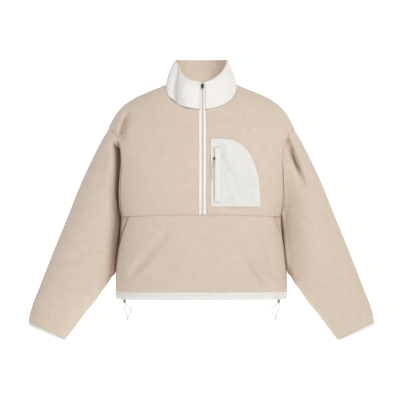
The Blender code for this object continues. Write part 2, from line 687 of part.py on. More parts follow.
def sleeve(side, front, back, group):
    """One sleeve, sewn to the armhole edges of the front and back panels, and its binding at the cuff.

    Under the arm its cloth stands off the seam before it hangs down beside the body.
    """
    front_outer, front_inward = front
    back_outer, back_inward = back
    column = -1 if side == "right" else 0
    top = len(back_outer) - 1 - SHOULDER_STEPS
    back_rows = range(top - ARMHOLE_STEPS, top + 1)
    armhole_ring = [front_outer[row][-1] for row in range(ARMHOLE_STEPS, -1, -1)]
    armhole_ways = [front_inward[row][-1] for row in range(ARMHOLE_STEPS, -1, -1)]
    armhole_ring += [back_outer[row][column] for row in list(back_rows)[1:]]
    armhole_ways += [back_inward[row][column] for row in list(back_rows)[1:]]
    armhole_ring[-1] = armhole_ring[0]
    armhole_ways[-1] = armhole_ways[0]
    rings = [folded_ring(side, share, sleeve_ring(side, share), armhole_ring) for share in SLEEVE_RINGS]
    middle = sum(armhole_ring[1:], Vector()) / (len(armhole_ring) - 1)
    count = len(armhole_ring) - 1
    first = []
    stood = []
    first_ways = []
    stood_ways = []
    for k, (point, way) in enumerate(zip(armhole_ring, armhole_ways)):
        along = armhole_ring[(k + 1) % count] - armhole_ring[(k - 1) % count]
        away = along.cross(way).normalized()
        if away.dot(middle - point) < 0.0:
            away = -away
        low = under_arm(k)
        onward = (rings[0][k] - point).normalized()
        leave = mix(onward, away, low).normalized()
        start = point + leave * SEAM * 1.5
        first.append(start)
        first_ways.append(mix(way, away, low).normalized())
        outward = mix(onward * 0.4, -way, low)
        stood.append(start + outward * STAND_OFF)
        stood_ways.append(mix(way, away - way, low).normalized())
    outer = [first, stood] + rings
    inward = inward_of(outer, closed=True)
    inward[0] = first_ways
    inward[1] = stood_ways
    for ring in (outer[0], outer[1], inward[0], inward[1]):
        ring[-1] = ring[0]
    cloth("sleeve_" + side, outer, inward, FLEECE, "fleece", group, closed=True)
    cuff = [sleeve_ring(side, BINDING_START), sleeve_ring(side, 1.0)]
    ways = inward_of(cuff, closed=True)
    cloth("cuff_binding_" + side, cuff, ways, FLEECE, "woven", group, closed=True)


# ---------------------------------------------------------------- collar
def neckline(side, face):
    """The neckline from the zip (or the centre back) to the shoulder seam, as (x, z) with x outward."""
    edge = (half_width(NECK_POINT), NECK_POINT)
    if face == "back":
        return across(0.0, edge, BACK_NECK, 2.4, face, BACK_COLUMNS)
    start = TAPE_HALF + SEAM + SIDE_SIGN[side] * ZIP_X
    return across(start, edge, FRONT_NECK, 2.4, face, FRONT_COLUMNS)


def collar_base(side):
    """Points round one side of the neckline, from the zip to the centre back."""
    sign = SIDE_SIGN[side]
    start = COLLAR_TAPE_HALF + SEAM + sign * ZIP_X
    places = neckline(side, "front")
    points = [body_point(sign * start, places[0][1], "front")]
    points += [body_point(sign * x, z, "front") for x, z in places]
    points += [body_point(sign * x, z, "back") for x, z in reversed(neckline(side, "back")[:-1])]
    return [point + Vector((0.0, 0.0, SEAM)) for point in points]


def collar_top(angle):
    """The collar's top edge at an angle round from the zip, in degrees, + to the right."""
    turn = math.radians(abs(angle))
    forward = math.cos(turn)
    x = math.copysign(COLLAR_HALF_WIDTH * math.sin(turn), angle)
    y = -forward * (COLLAR_FRONT if forward > 0.0 else COLLAR_BACK)
    z = COLLAR_TOP - COLLAR_DIP * max(forward, 0.0) ** 1.25
    return Vector((x, y, z))


def collar_columns():
    """Base point, top point and angle for each column, from the zip round the back to the zip again."""
    columns = []
    for side in ("right", "left"):
        base = collar_base(side)
        sign = SIDE_SIGN[side]
        lengths = [0.0]
        for i in range(1, len(base)):
            lengths.append(lengths[-1] + (base[i] - base[i - 1]).length)
        start = math.degrees(math.asin((COLLAR_TAPE_HALF + SEAM + sign * ZIP_X) / COLLAR_HALF_WIDTH))
        half = []
        for point, length in zip(base, lengths):
            angle = mix(start, 180.0, length / lengths[-1])
            half.append((point, collar_top(sign * angle), sign * angle))
        if side == "right":
            columns = half
        else:
            columns += list(reversed(half[:-1]))
    return columns


def collar_wall(base, top, angle, share):
    """A point of the collar's outer face, a share of the way up one column."""
    outward = Vector((math.sin(math.radians(angle)), -math.cos(math.radians(angle)), 0.0))
    swell = COLLAR_BULGE * math.sin(math.pi * share)
    for dent in COLLAR_DENTS:
        away = (angle - mix(dent.base, dent.top, share)) / dent.reach
        strength = math.sin(math.pi * (0.08 + 0.84 * share))
        swell -= dent.depth * strength * math.exp(-away * away)
    return mix(base, top, share) + outward * swell


def collar(group):
    """The stand collar: its woven outside and its fleece lining."""
    columns = collar_columns()
    steps = COLLAR_ROWS
    outer = []
    for row in range(steps + 1):
        outer.append([collar_wall(*column, row / steps) for column in columns])
    inward = inward_of(outer)
    flatten(inward, range(steps + 1), (0, -1), 0)
    cloth("collar_outer", outer, inward, WOVEN, "woven", group)
    lining = moved(outer, inward, WOVEN + SEAM)
    lining[-1] = [end + (end - before).normalized() * LINING_RISE for before, end in zip(lining[-2], lining[-1])]
    cloth("collar_lining", lining, inward, LINING, "fleece", group)


# ---------------------------------------------------------------- half zip
def zip_line(x_of):
    """Outer points up the zip, on the body and then up the collar: x_of(on_collar) gives each row's x values."""
    rows = []
    for k in range(ZIP_ROWS + 1):
        z = mix(POUCH_TOP + SEAM, FRONT_NECK - TAPE_TAPER, k / ZIP_ROWS)
        rows.append([body_point(x, z, "front") for x in x_of(False)])
    rows.append([body_point(x, FRONT_NECK, "front") for x in x_of(True)])
    base_height = FRONT_NECK + SEAM
    for k in range(1, COLLAR_ROWS + 1):
        share = k / COLLAR_ROWS
        line = []
        for x in x_of(True):
            base = body_point(x, FRONT_NECK, "front")
            base.z = base_height
            top = collar_top(0.0)
            top.x = x
            line.append(collar_wall(base, top, 0.0, share))
        rows.append(line)
    return rows


def zip_inward(rows):
    """Directions into the garment along the zip, with no lean to either side."""
    inward = []
    for r, row in enumerate(rows):
        along = rows[min(r + 1, len(rows) - 1)][0] - rows[max(r - 1, 0)][0]
        way = Vector((0.0, along.z, -along.y)).normalized()
        inward.append([way for _ in row])
    return inward


def half_zip(group):
    """The zip's two tapes and its closed chain, up to the slider."""
    for side, sign in SIDE_SIGN.items():
        def tape_x(on_collar, sign=sign):
            wide = COLLAR_TAPE_HALF if on_collar else TAPE_HALF
            inner = CHAIN_HALF + SEAM
            values = [ZIP_X + sign * inner, ZIP_X + sign * wide]
            return sorted(values)
        rows = zip_line(tape_x)
        inward = zip_inward(rows)
        cloth("zip_tape_" + side, moved(rows, inward, TAPE_SINK), inward, WOVEN, "tape", group)
    rows = zip_line(lambda on_collar: [ZIP_X - CHAIN_HALF, ZIP_X + CHAIN_HALF])[1:-1]
    inward = zip_inward(rows)
    cloth("zip_chain", moved(rows, inward, -CHAIN_PROUD), inward, CHAIN_THICK, "chain", group)


def block(name, size, place, tilt, colour_name, group, bevel):
    """A box with rounded edges, tilted about X."""
    work = bmesh.new()
    bmesh.ops.create_cube(work, size=1.0)
    bmesh.ops.scale(work, vec=Vector(size), verts=work.verts)
    bmesh.ops.bevel(work, geom=work.edges[:], offset=bevel, segments=2, profile=0.5, affect="EDGES", material=-1)
    item = add_mesh(name, work, colour_name, group)
    item.location = place
    item.rotation_euler = (tilt, 0.0, 0.0)
    return item


def tube(name, points, radius, colour_name, group, resolution=2):
    """A round cord or wire through points, with filled ends."""
    curve = bpy.data.curves.new(name, "CURVE")
    curve.dimensions = "3D"
    curve.bevel_depth = radius
    curve.bevel_resolution = resolution
    curve.use_fill_caps = True
    line = curve.splines.new("POLY")
    line.points.add(len(points) - 1)
    for spot, point in zip(line.points, points):
        spot.co = (*point, 1.0)
    item = bpy.data.objects.new(name, curve)
    group.objects.link(item)
    finish(item, colour_name)
    return item


def outline(name, loops, thickness, colour_name, group):
    """A flat plate of an outer outline and the holes in it."""
    curve = bpy.data.curves.new(name, "CURVE")
    curve.dimensions = "2D"
    curve.fill_mode = "BOTH"
    curve.extrude = thickness / 2.0
    for loop in loops:
        line = curve.splines.new("POLY")
        line.points.add(len(loop) - 1)
        for spot, (x, y) in zip(line.points, loop):
            spot.co = (x, y, 0.0, 1.0)
        line.use_cyclic_u = True
    item = bpy.data.objects.new(name, curve)
    group.objects.link(item)
    finish(item, colour_name)
    return item




def slider_frame():
    """Where the slider's face is, and how far the collar leans there."""
    base = body_point(ZIP_X, FRONT_NECK, "front")
    top = collar_top(0.0)
    top.x = ZIP_X
    here = collar_wall(base, top, 0.0, SLIDER_SHARE)
    above = collar_wall(base, top, 0.0, SLIDER_SHARE + 0.05)
    rise = above - here
    lean = -math.atan2(rise.y, rise.z)
    return here, lean


def zip_hardware(group):
    """The slider, its bridge, the pull tab and the bottom stop."""
    here, lean = slider_frame()
    turn = Matrix.Rotation(lean, 4, "X")
    stand_off = SLIDER_SIZE[1] / 2.0 + SEAM
    middle = here + turn @ Vector((0.0, -stand_off, 0.0))
    block("zip_slider", SLIDER_SIZE, middle, lean, "gunmetal", group, SLIDER_BEVEL)
    face = middle + turn @ Vector((0.0, -SLIDER_SIZE[1] / 2.0, 0.0))
    route = [face + turn @ Vector((0.0, -wire.out, BAR_UP + wire.height)) for wire in BRIDGE]
    tube("zip_slider_bridge", route, BRIDGE_RADIUS, "gunmetal", group)
    rounded = []
    for k in range(9):
        angle = math.pi * k / 8
        rounded.append((TAB_HALF * math.cos(angle), -TAB_LENGTH + TAB_HALF - TAB_HALF * math.sin(angle)))
    shape = [(-TAB_HALF, TAB_BAR / 2.0), (TAB_HALF, TAB_BAR / 2.0)] + rounded
    hole_top = -TAB_BAR / 2.0
    hole = [(-TAB_HOLE_HALF, hole_top), (TAB_HOLE_HALF, hole_top),
            (TAB_HOLE_HALF, hole_top - TAB_HOLE_LENGTH), (-TAB_HOLE_HALF, hole_top - TAB_HOLE_LENGTH)]
    tab = outline("zip_pull", [shape, hole], TAB_THICK, "gunmetal", group)
    tab.location = face + turn @ Vector((0.0, -BAR_OUT, BAR_UP))
    tab.rotation_euler = (lean + math.pi / 2.0, 0.0, 0.0)
    stop_place = body_point(ZIP_X, POUCH_TOP + STOP_UP, "front") + Vector((0.0, -STOP_OUT, 0.0))
    block("zip_bottom_stop", STOP_SIZE, stop_place, 0.0, "chain", group, CHAIN_PROUD)


# ---------------------------------------------------------------- chest pocket
def pocket_edge(z):
    """The pocket's right edge at a height: straight below, then round into the level top."""
    share = min(max((z - POCKET_BOTTOM) / (POCKET_TOP - POCKET_BOTTOM), 0.0), 1.0)
    return mix(POCKET_FLAT_TOP, POCKET_RIGHT, (1.0 - share ** POCKET_ROUND) ** (1.0 / POCKET_ROUND))


def chest_pocket(group):
    """The woven pocket, the strip that shields its zip, the zip and its slider."""
    levels = []
    for k in range(POCKET_ROWS + 1):
        levels.append(mix(POCKET_BOTTOM, POCKET_TOP, math.sin(math.pi / 2.0 * k / POCKET_ROWS) ** 0.9))
    places = []
    for z in levels:
        right = pocket_edge(z)
        places.append([(mix(POCKET_LEFT, right, c / POCKET_COLUMNS), z) for c in range(POCKET_COLUMNS + 1)])
    lift = WOVEN + TRIM_LIFT
    outer, inward = on_body(places, "front", -lift)
    cloth("chest_pocket", outer, inward, WOVEN, "woven", group)

    lift += WOVEN + TRIM_LIFT
    heights = [mix(FLAP_BOTTOM, FLAP_TOP, k / FLAP_ROWS) for k in range(FLAP_ROWS + 1)]
    places = [[(mix(FLAP_LEFT, FLAP_RIGHT, c / 2), z) for c in range(3)] for z in heights]
    outer, inward = on_body(places, "front", -lift)
    cloth("pocket_zip_flap", outer, inward, WOVEN, "woven", group)

    chain_x = FLAP_LEFT - SEAM - POCKET_CHAIN_HALF
    places = [[(chain_x - POCKET_CHAIN_HALF, z), (chain_x + POCKET_CHAIN_HALF, z)] for z in heights]
    outer, inward = on_body(places, "front", -(lift - CHAIN_PROUD))
    cloth("pocket_zip_chain", outer, inward, POCKET_CHAIN_THICK, "chain", group)

    spot = body_point(chain_x, POCKET_SLIDER_HEIGHT, "front")
    way = body_inward(chain_x, POCKET_SLIDER_HEIGHT, "front")
    place = spot - way * (lift + SEAM + POCKET_SLIDER_SIZE[1] / 2.0)
    block("pocket_slider", POCKET_SLIDER_SIZE, place, 0.0, "gunmetal", group, CHAIN_PROUD)


# ---------------------------------------------------------------- hem casing, ferrules and cords
def body_ring(z, count):
    """A closed ring of points round the body at a height, evenly spaced along the cloth."""
    ring = []
    for k in range(count):
        angle = 2.0 * math.pi * k / count
        power = 2.0 / SQUARENESS
        x = half_width(z) * math.copysign(abs(math.sin(angle)) ** power, math.sin(angle))
        forward = math.cos(angle)
        depth = depth_of["front" if forward > 0.0 else "back"](z)
        ring.append(Vector((x, -depth * math.copysign(abs(forward) ** power, forward), z)))
    ring.append(ring[0])
    return ring


def hem_casing(group):
    """The woven casing round the hem."""
    levels = [HEM_TOP - SEAM - 0.0002, mix(HEM_TOP, HEM_BOTTOM, 0.5), HEM_BOTTOM]
    outer = [body_ring(z, CASING_COLUMNS) for z in levels]
    inward = inward_of(outer, closed=True)
    outer[1] = [point - way * CASING_SWELL for point, way in zip(outer[1], inward[1])]
    for row in (0, 2):
        flatten(inward, (row,), range(len(outer[0])), 2)
    cloth("hem_casing", outer, inward, CASING_THICK, "woven", group, closed=True)


def turned(name, profile, place, colour_name, group, segments=12):
    """A piece turned about the vertical: each point of its profile is a radius and a height."""
    work = bmesh.new()
    verts = [work.verts.new((radius, 0.0, height)) for radius, height in profile]
    edges = [work.edges.new((verts[i], verts[(i + 1) % len(verts)])) for i in range(len(verts))]
    bmesh.ops.spin(work, geom=verts + edges, cent=(0.0, 0.0, 0.0), axis=(0.0, 0.0, 1.0),
                   angle=2.0 * math.pi, steps=segments, use_merge=True)
    bmesh.ops.remove_doubles(work, verts=work.verts, dist=1e-6)
    item = add_mesh(name, work, colour_name, group)
    item.location = place
    return item


def smooth_route(points, per_span=4):
    """Points along a smooth curve through a route's own points."""
    fine = []
    for i in range(len(points) - 1):
        p0 = Vector(points[max(i - 1, 0)])
        p1 = Vector(points[i])
        p2 = Vector(points[i + 1])
        p3 = Vector(points[min(i + 2, len(points) - 1)])
        for k in range(per_span):
            t = k / per_span
            fine.append(0.5 * ((2.0 * p1) + (p2 - p0) * t + (2.0 * p0 - 5.0 * p1 + 4.0 * p2 - p3) * t * t
                               + (3.0 * p1 - p0 - 3.0 * p2 + p3) * t * t * t))
    fine.append(Vector(points[-1]))
    return fine




def drawcord(side, group):
    """A ferrule under the hem casing, the two strands of a drawcord loop and the cord end on them."""
    sign = SIDE_SIGN[side]
    x = FERRULE_X[side]
    y = body_point(x, HEM_BOTTOM, "front").y + FERRULE_BACK
    turned("drawcord_ferrule_" + side, FERRULE, Vector((x, y, HEM_BOTTOM - SEAM)), "steel", group)
    for name, route in (("straight", STRAIGHT_STRAND), ("bowed", BOWED_STRAND)):
        points = [(x + sign * out, y + deep, height) for out, deep, height in route]
        tube("drawcord_" + side + "_" + name, smooth_route(points), CORD_RADIUS, "cord", group)
    end_x = x - sign * CORD_END_IN
    turned("drawcord_end_" + side, CORD_END, Vector((end_x, y, CORD_END_TOP)), "cord", group)


def pocket_pull(group):
    """The soft cord on the pocket's slider."""
    lift = 2.0 * (WOVEN + TRIM_LIFT) + CHAIN_THICK
    points = [body_point(x, z, "front") - body_inward(x, z, "front") * lift for x, z in PULL_CORD]
    tube("pocket_pull_cord", smooth_route(points), PULL_CORD_RADIUS, "cord", group)


def main():
    """Builds every piece."""
    clear_scene()
    group = new_collection("half_zip_fleece_pullover")
    back = back_panel(group)
    fronts = {side: front_upper(side, group) for side in SIDE_SIGN}
    front_lower(group)
    kangaroo_pouch(group)
    for side in SIDE_SIGN:
        sleeve(side, fronts[side], back, group)
    collar(group)
    half_zip(group)
    zip_hardware(group)
    chest_pocket(group)
    pocket_pull(group)
    hem_casing(group)
    for side in SIDE_SIGN:
        drawcord(side, group)


main()
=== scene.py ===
"""Looks of a cropped half-zip fleece pullover, hollow and filled out as if worn.

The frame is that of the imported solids: metres, +Z up, the front faces -Y, +X to the viewer's right.
Left and right are the viewer's.
"""
import json
import logging
import math
from dataclasses import dataclass, field
from enum import Enum
from typing import Sequence

import bmesh
import bpy
import numpy as np
from mathutils import Matrix, Vector


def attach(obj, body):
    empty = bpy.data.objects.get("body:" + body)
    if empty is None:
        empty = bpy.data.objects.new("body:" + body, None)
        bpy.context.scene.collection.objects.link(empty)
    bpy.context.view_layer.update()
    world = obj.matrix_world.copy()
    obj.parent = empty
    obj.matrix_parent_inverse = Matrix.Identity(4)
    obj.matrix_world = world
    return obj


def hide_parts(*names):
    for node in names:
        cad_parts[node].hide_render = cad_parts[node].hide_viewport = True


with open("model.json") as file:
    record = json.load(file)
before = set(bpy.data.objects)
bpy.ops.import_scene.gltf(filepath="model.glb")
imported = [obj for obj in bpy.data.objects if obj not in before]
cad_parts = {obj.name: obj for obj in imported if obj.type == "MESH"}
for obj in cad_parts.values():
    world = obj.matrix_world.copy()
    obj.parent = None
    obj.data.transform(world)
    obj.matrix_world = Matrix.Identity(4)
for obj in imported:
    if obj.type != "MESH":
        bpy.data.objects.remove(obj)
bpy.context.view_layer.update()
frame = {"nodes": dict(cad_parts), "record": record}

logging.basicConfig(level=logging.INFO, format="%(message)s")
log = logging.getLogger("pullover")

GARMENT = "garment"
PI = math.pi


class Face(Enum):
    """The front or the back of the garment, with the direction in which it faces."""

    FRONT = -1.0
    BACK = 1.0


class Side(Enum):
    """The viewer's left or right."""

    LEFT = -1.0
    RIGHT = 1.0

    @property
    def word(self) -> str:
        """The side's name as node names have it."""
        return self.name.lower()


# ---------------------------------------------------------------- tables, paths and folds
class Profile:
    """A smooth curve through a short table that doesn't overshoot between its rows."""

    def __init__(self, places: Sequence[float], values: Sequence[float]) -> None:
        """Works out the slopes at the table's rows.

        Args:
            places: where each value holds, in any order.
            values: the values.
        """
        order = np.argsort(places)
        self.places, self.values = np.asarray(places, float)[order], np.asarray(values, float)[order]
        self.gaps = np.diff(self.places)
        rises = np.diff(self.values) / self.gaps
        before, after = rises[:-1], rises[1:]
        one, two = 2.0 * self.gaps[1:] + self.gaps[:-1], self.gaps[1:] + 2.0 * self.gaps[:-1]
        same = before * after > 0.0
        mean = (one + two) / (one / np.where(same, before, 1.0) + two / np.where(same, after, 1.0))
        self.slopes = np.concatenate([rises[:1], np.where(same, mean, 0.0), rises[-1:]])

    def __call__(self, place: np.ndarray) -> np.ndarray:
        """The values at places, held level past both ends.

        Args:
            place: the places.

        Returns:
            A value for each.
        """
        place = np.clip(place, self.places[0], self.places[-1])
        i = np.clip(np.searchsorted(self.places, place, side="right") - 1, 0, len(self.gaps) - 1)
        gap = self.gaps[i]
        t = (place - self.places[i]) / gap
        rise = (1.0 + 2.0 * t) * (1.0 - t) ** 2 * self.values[i] + t * t * (3.0 - 2.0 * t) * self.values[i + 1]
        return rise + t * (1.0 - t) ** 2 * gap * self.slopes[i] + t * t * (t - 1.0) * gap * self.slopes[i + 1]


def unit(vectors: np.ndarray) -> np.ndarray:
    """Vectors brought to length one along their last axis."""
    return vectors / np.maximum(np.linalg.norm(vectors, axis=-1, keepdims=True), 1e-12)


def smooth_step(value: np.ndarray, low: float, high: float) -> np.ndarray:
    """0 below low, 1 above high, and a soft step between them."""
    share = np.clip((np.asarray(value) - low) / (high - low), 0.0, 1.0)
    return share * share * (3.0 - 2.0 * share)


def lengths(points: np.ndarray, axis: int = 0) -> np.ndarray:
    """How far along a path, or along the rows (axis 1) or columns (axis 0) of a grid, each point is.

    Args:
        points: the path's or the grid's points.
        axis: the axis that runs along.

    Returns:
        A length for each point.
    """
    steps = np.linalg.norm(np.diff(points, axis=axis), axis=-1)
    start = np.zeros_like(np.take(steps, [0], axis=axis))
    return np.cumsum(np.concatenate([start, steps], axis=axis), axis=axis)


def sample(path: np.ndarray, run: np.ndarray, want: np.ndarray) -> np.ndarray:
    """Points of a path at wanted places, after the place that run gives to each of its own points."""
    return np.stack([np.interp(want, run, column) for column in path.T], -1)


def mirrored(half: np.ndarray) -> np.ndarray:
    """Rows of places from the left edge to the right one, after their right halves."""
    return np.concatenate([half[:, :0:-1] * np.array([-1.0, 1.0]), half], axis=1)


def mm(*rows: tuple[float, ...]) -> np.ndarray:
    """A table of millimetres, in metres."""
    return np.array(rows) / 1000.0


@dataclass(frozen=True)
class Stroke:
    """A fold drawn as a stroke in the front or back view: a trough where its depth is above zero."""

    face: Face
    x0: float
    z0: float
    x1: float
    z1: float
    reach: float
    depth: float
    taper: float = 0.0

    def at(self, x: np.ndarray, z: np.ndarray) -> np.ndarray:
        """How deep the fold is at places of the view.

        Args:
            x: the places across.
            z: their heights.

        Returns:
            A depth for each.
        """
        run_x, run_z = self.x1 - self.x0, self.z1 - self.z0
        along = (x - self.x0) * run_x + (z - self.z0) * run_z
        share = np.clip(along / (run_x ** 2 + run_z ** 2), 0.0, 1.0)
        away = np.hypot(x - self.x0 - run_x * share, z - self.z0 - run_z * share) / self.reach
        return self.depth * (1.0 - self.taper * (2.0 * share - 1.0) ** 2) * np.exp(-away * away)


def strokes(face: Face, *rows: tuple[float, ...]) -> tuple[Stroke, ...]:
    """Strokes on a face, from rows of both ends, reach and depth in millimetres, and at times the taper."""
    return tuple(Stroke(face, *(value / 1000.0 for value in row[:6]), *row[6:]) for row in rows)


def fold_depth(folds: Sequence[Stroke], face: Face, x: np.ndarray, z: np.ndarray) -> np.ndarray:
    """How deep all the folds on a face are together at places of its view.

    Args:
        folds: the folds.
        face: the face.
        x: the places across.
        z: their heights.

    Returns:
        A depth for each.
    """
    total = np.zeros(np.broadcast(x, z).shape)
    for fold in folds:
        if fold.face is face:
            total = total + fold.at(x, z)
    return total


# ---------------------------------------------------------------- the sizes that the solids have
SEAM = 0.0003
FLEECE_WALL = 0.003
WOVEN_WALL = 0.0015
LINING_WALL = 0.0025
LAYER = 0.0022
TRIM_LIFT = 0.0006
SQUARENESS = 2.3
HEM_TOP = -0.5135
HEM_BOTTOM = -0.5340
UNDERARM = -0.3270
SHOULDER_DROP = -0.1075
NECK_POINT = 0.0030
FRONT_NECK = -0.0600
BACK_NECK = 0.0080
POUCH_TOP = -0.3215
SLIT_BOTTOM = -0.4100
SLIT_TOP_ANGLE = 62.0
SLIT_LIFT = 0.003
FOLD_ROOM = 0.0050
ZIP_X = 0.0030
TAPE_HALF = 0.0093
COLLAR_TAPE_HALF = 0.0057
DENSE = 160
LEVEL_ROWS = 27
SLOPE_STEP = 0.0005

# height, half width, depth before and behind the shoulder line
BODY_LEVELS = mm(
    (12, 56, 34, 50), (5, 84, 40, 57), (0, 97, 45, 61), (-15, 135, 55, 70), (-30, 167.5, 65, 78),
    (-45, 190, 75, 86), (-60, 206, 83, 93), (-90, 225, 97, 103), (-107.5, 232.5, 104, 107),
    (-135, 226.5, 111, 112), (-160, 222.5, 116, 115), (-210, 219, 121, 118), (-260, 215, 123, 119),
    (-300, 208, 123, 120), (-327, 201.5, 123, 120), (-397.5, 207.5, 122, 121), (-460, 213.5, 120, 121),
    (-513.5, 214.5, 118, 119), (-534, 212.5, 116, 117),
)
# The folds that the solids have, then creases that are finer, where the cloth would pull or fold.
BODY_FOLDS = strokes(
    Face.FRONT,
    (-183, -74, -199, -132, 10, 6.5), (201, -84, 204, -130, 10, 4), (60, -385, 152, -472, 14, -4.5),
    (152, -472, 197, -503, 10, -3.5), (142, -360, 172, -460, 11, 4.5), (97, -423, 152, -498, 11, 4.5),
    (-91, -373, -153, -448, 14, 4), (-153, -448, -172, -475, 9, 3.5), (-115, -430, -185, -490, 12, -3),
    (-183.5, -70, -201.5, -138, 6.5, 20, 0.8), (80, -390, 188, -499, 10, -3.4, 0.7),
    (148, -365, 180, -470, 8, 4.2, 0.8), (95, -420, 152, -498, 8, 3.6, 0.8),
    (-85, -365, -172, -475, 9.5, 3.6, 0.8), (-165, -435, -191, -470, 7, -3, 0.6),
    (150, -335, 168, -376, 6, 1.6), (184, -340, 190, -356, 6, 1.4), (-42, -350, -70, -390, 12, 1.2),
    (-150, -42, -118, -150, 20, 1.6), (112, -50, 145, -115, 16, 1.4), (-190, -210, -130, -250, 14, 1.4),
    (-185, -270, -140, -295, 10, 1), (160, -230, 190, -205, 10, 1.2), (25, -345, 45, -390, 10, 0.8),
    (-10, -440, 30, -495, 14, 0.8),
) + strokes(
    Face.BACK,
    (-130, -170, -95, -340, 20, 6), (135, -160, 105, -310, 18, 5.5), (-20, -300, -50, -470, 18, 5),
    (45, -270, 65, -450, 20, 4.5), (120, -390, 165, -480, 14, 4.5), (-130, -400, -170, -475, 14, 4),
    (-90, -30, 90, -33, 16, 1.6), (-190, -220, -150, -280, 10, 2), (185, -210, 150, -270, 10, 1.8),
    (-100, -370, -70, -460, 10, 1.4), (10, -350, 15, -480, 10, -1.2), (90, -440, 115, -495, 9, 1.6),
)
SLEEVE_FOLDS = strokes(
    Face.FRONT,
    (-203.5, -150, -206, -335, 6, 10), (214, -130, 252, -238, 11, 7.5), (295, -415, 355, -435, 12, 3),
    (-305, -425, -360, -440, 12, 3), (-245, -170, -260, -260, 12, 3),
    (207, -118, 259, -256, 6.5, 20, 0.9), (256, -330, 290, -370, 8, 1.6), (365, -465, 305, -480, 9, 1.8),
    (385, -520, 330, -540, 8, 1.4), (-260, -350, -295, -390, 9, 1.6), (-370, -470, -305, -490, 9, 1.8),
    (-395, -530, -335, -550, 8, 1.4),
) + strokes(
    Face.BACK,
    (235, -170, 280, -300, 14, 6), (-235, -170, -275, -290, 14, 6), (290, -410, 360, -430, 13, 4.5),
    (-290, -415, -360, -435, 13, 4.5), (260, -350, 300, -360, 9, 2), (-260, -345, -305, -365, 9, 2),
    (375, -480, 315, -500, 9, 1.8), (-380, -480, -320, -510, 9, 1.8),
)


def rounded(share: np.ndarray) -> np.ndarray:
    """How deep the body's level section is at shares of its half width, or the other way round."""
    return (1.0 - share ** SQUARENESS) ** (1.0 / SQUARENESS)


@dataclass(frozen=True)
class BodyForm:
    """The rounded surface that the fronts, the back, the collar's base and the trim lie on."""

    width: Profile = field(default_factory=lambda: Profile(*BODY_LEVELS.T[[0, 1]]))
    front: Profile = field(default_factory=lambda: Profile(*BODY_LEVELS.T[[0, 2]]))
    back: Profile = field(default_factory=lambda: Profile(*BODY_LEVELS.T[[0, 3]]))

    def depth(self, z: np.ndarray, face: Face) -> np.ndarray:
        """How far the surface stands before or behind the shoulder line at its middle."""
        return self.front(z) if face is Face.FRONT else self.back(z)

    def point(self, x: np.ndarray, z: np.ndarray, face: Face, folded: bool = True) -> np.ndarray:
        """The points of the surface that places of a view show.

        Args:
            x: places across, in metres.
            z: their heights.
            face: the view.
            folded: whether the folds are in it.

        Returns:
            Points, with the three coordinates on the last axis.
        """
        x, z = np.broadcast_arrays(np.asarray(x, float), np.asarray(z, float))
        share = np.minimum(np.abs(x) / self.width(z), 1.0)
        y = face.value * (self.depth(z, face) * rounded(share) + SEAM / 2.0)
        if folded:
            fade = np.sqrt(np.maximum(1.0 - share ** 8, 0.0))
            y = y - face.value * fade * fold_depth(BODY_FOLDS, face, x, z)
        return np.stack([x, y, z], -1)

    def inward(self, x: np.ndarray, z: np.ndarray, face: Face) -> np.ndarray:
        """Directions into the body, square to its smooth surface.

        Args:
            x: places across.
            z: their heights.
            face: the view.

        Returns:
            A direction for each place.
        """
        x, z = np.broadcast_arrays(np.asarray(x, float), np.asarray(z, float))
        width, depth = self.width(z), self.depth(z, face)
        share = np.minimum(np.abs(x) / width, 1.0)
        reach = rounded(share)
        up, down = z + SLOPE_STEP, z - SLOPE_STEP
        width_slope = (self.width(up) - self.width(down)) / (2.0 * SLOPE_STEP)
        depth_slope = (self.depth(up, face) - self.depth(down, face)) / (2.0 * SLOPE_STEP)
        out_x = np.sign(x) * share ** (SQUARENESS - 1.0) / width
        out_y = face.value * reach ** (SQUARENESS - 1.0) / depth
        out_z = -(share ** SQUARENESS) * width_slope / width - reach ** SQUARENESS * depth_slope / depth
        return -unit(np.stack([out_x, out_y, out_z], -1))

    def surface(self, places: np.ndarray, face: Face, folded: bool = True) -> tuple[np.ndarray, np.ndarray]:
        """Outer points and inward directions for places (x, z) of a view."""
        x, z = places[..., 0], places[..., 1]
        return self.point(x, z, face, folded), self.inward(x, z, face)

    def evenly(self, path: np.ndarray, face: Face, count: int) -> np.ndarray:
        """Places of a path that are evenly spaced along the cloth.

        Args:
            path: places (x, z) of the view, close together.
            face: the view.
            count: how many spaces to make.

        Returns:
            count + 1 places.
        """
        run = lengths(self.point(path[:, 0], path[:, 1], face, folded=False))
        return sample(path, run, np.linspace(0.0, run[-1], count + 1))

    def width_at_angle(self, z: np.ndarray, angle: np.ndarray) -> np.ndarray:
        """The place across at a height and an angle round from the front, in degrees."""
        return self.width(z) * np.sin(np.radians(angle)) ** (2.0 / SQUARENESS)

    def across(self, start: float, edge: np.ndarray, middle_height: float, bend: float, face: Face,
               count: int) -> np.ndarray:
        """Places from x = start out to an edge, level at the middle and rising to the edge.

        Args:
            start: the first place across.
            edge: the last place, as (x, z).
            middle_height: the height at the middle.
            bend: how early the row rises.
            face: the view.
            count: how many spaces to make.

        Returns:
            count + 1 places.
        """
        angle = np.linspace(math.asin(min(start / edge[0], 1.0)), PI / 2.0, DENSE + 1)
        fall = np.maximum(np.cos(angle), 0.0) ** (2.0 / bend)
        path = np.stack([edge[0] * np.sin(angle), edge[1] - (edge[1] - middle_height) * fall], -1)
        return self.evenly(path, face, count)


@dataclass(frozen=True)
class Cut:
    """How finely the cloth is divided."""

    armhole: int = 60
    shoulder: int = 30
    front: int = 64
    back: int = 56
    lower: int = 66
    pouch: int = 56


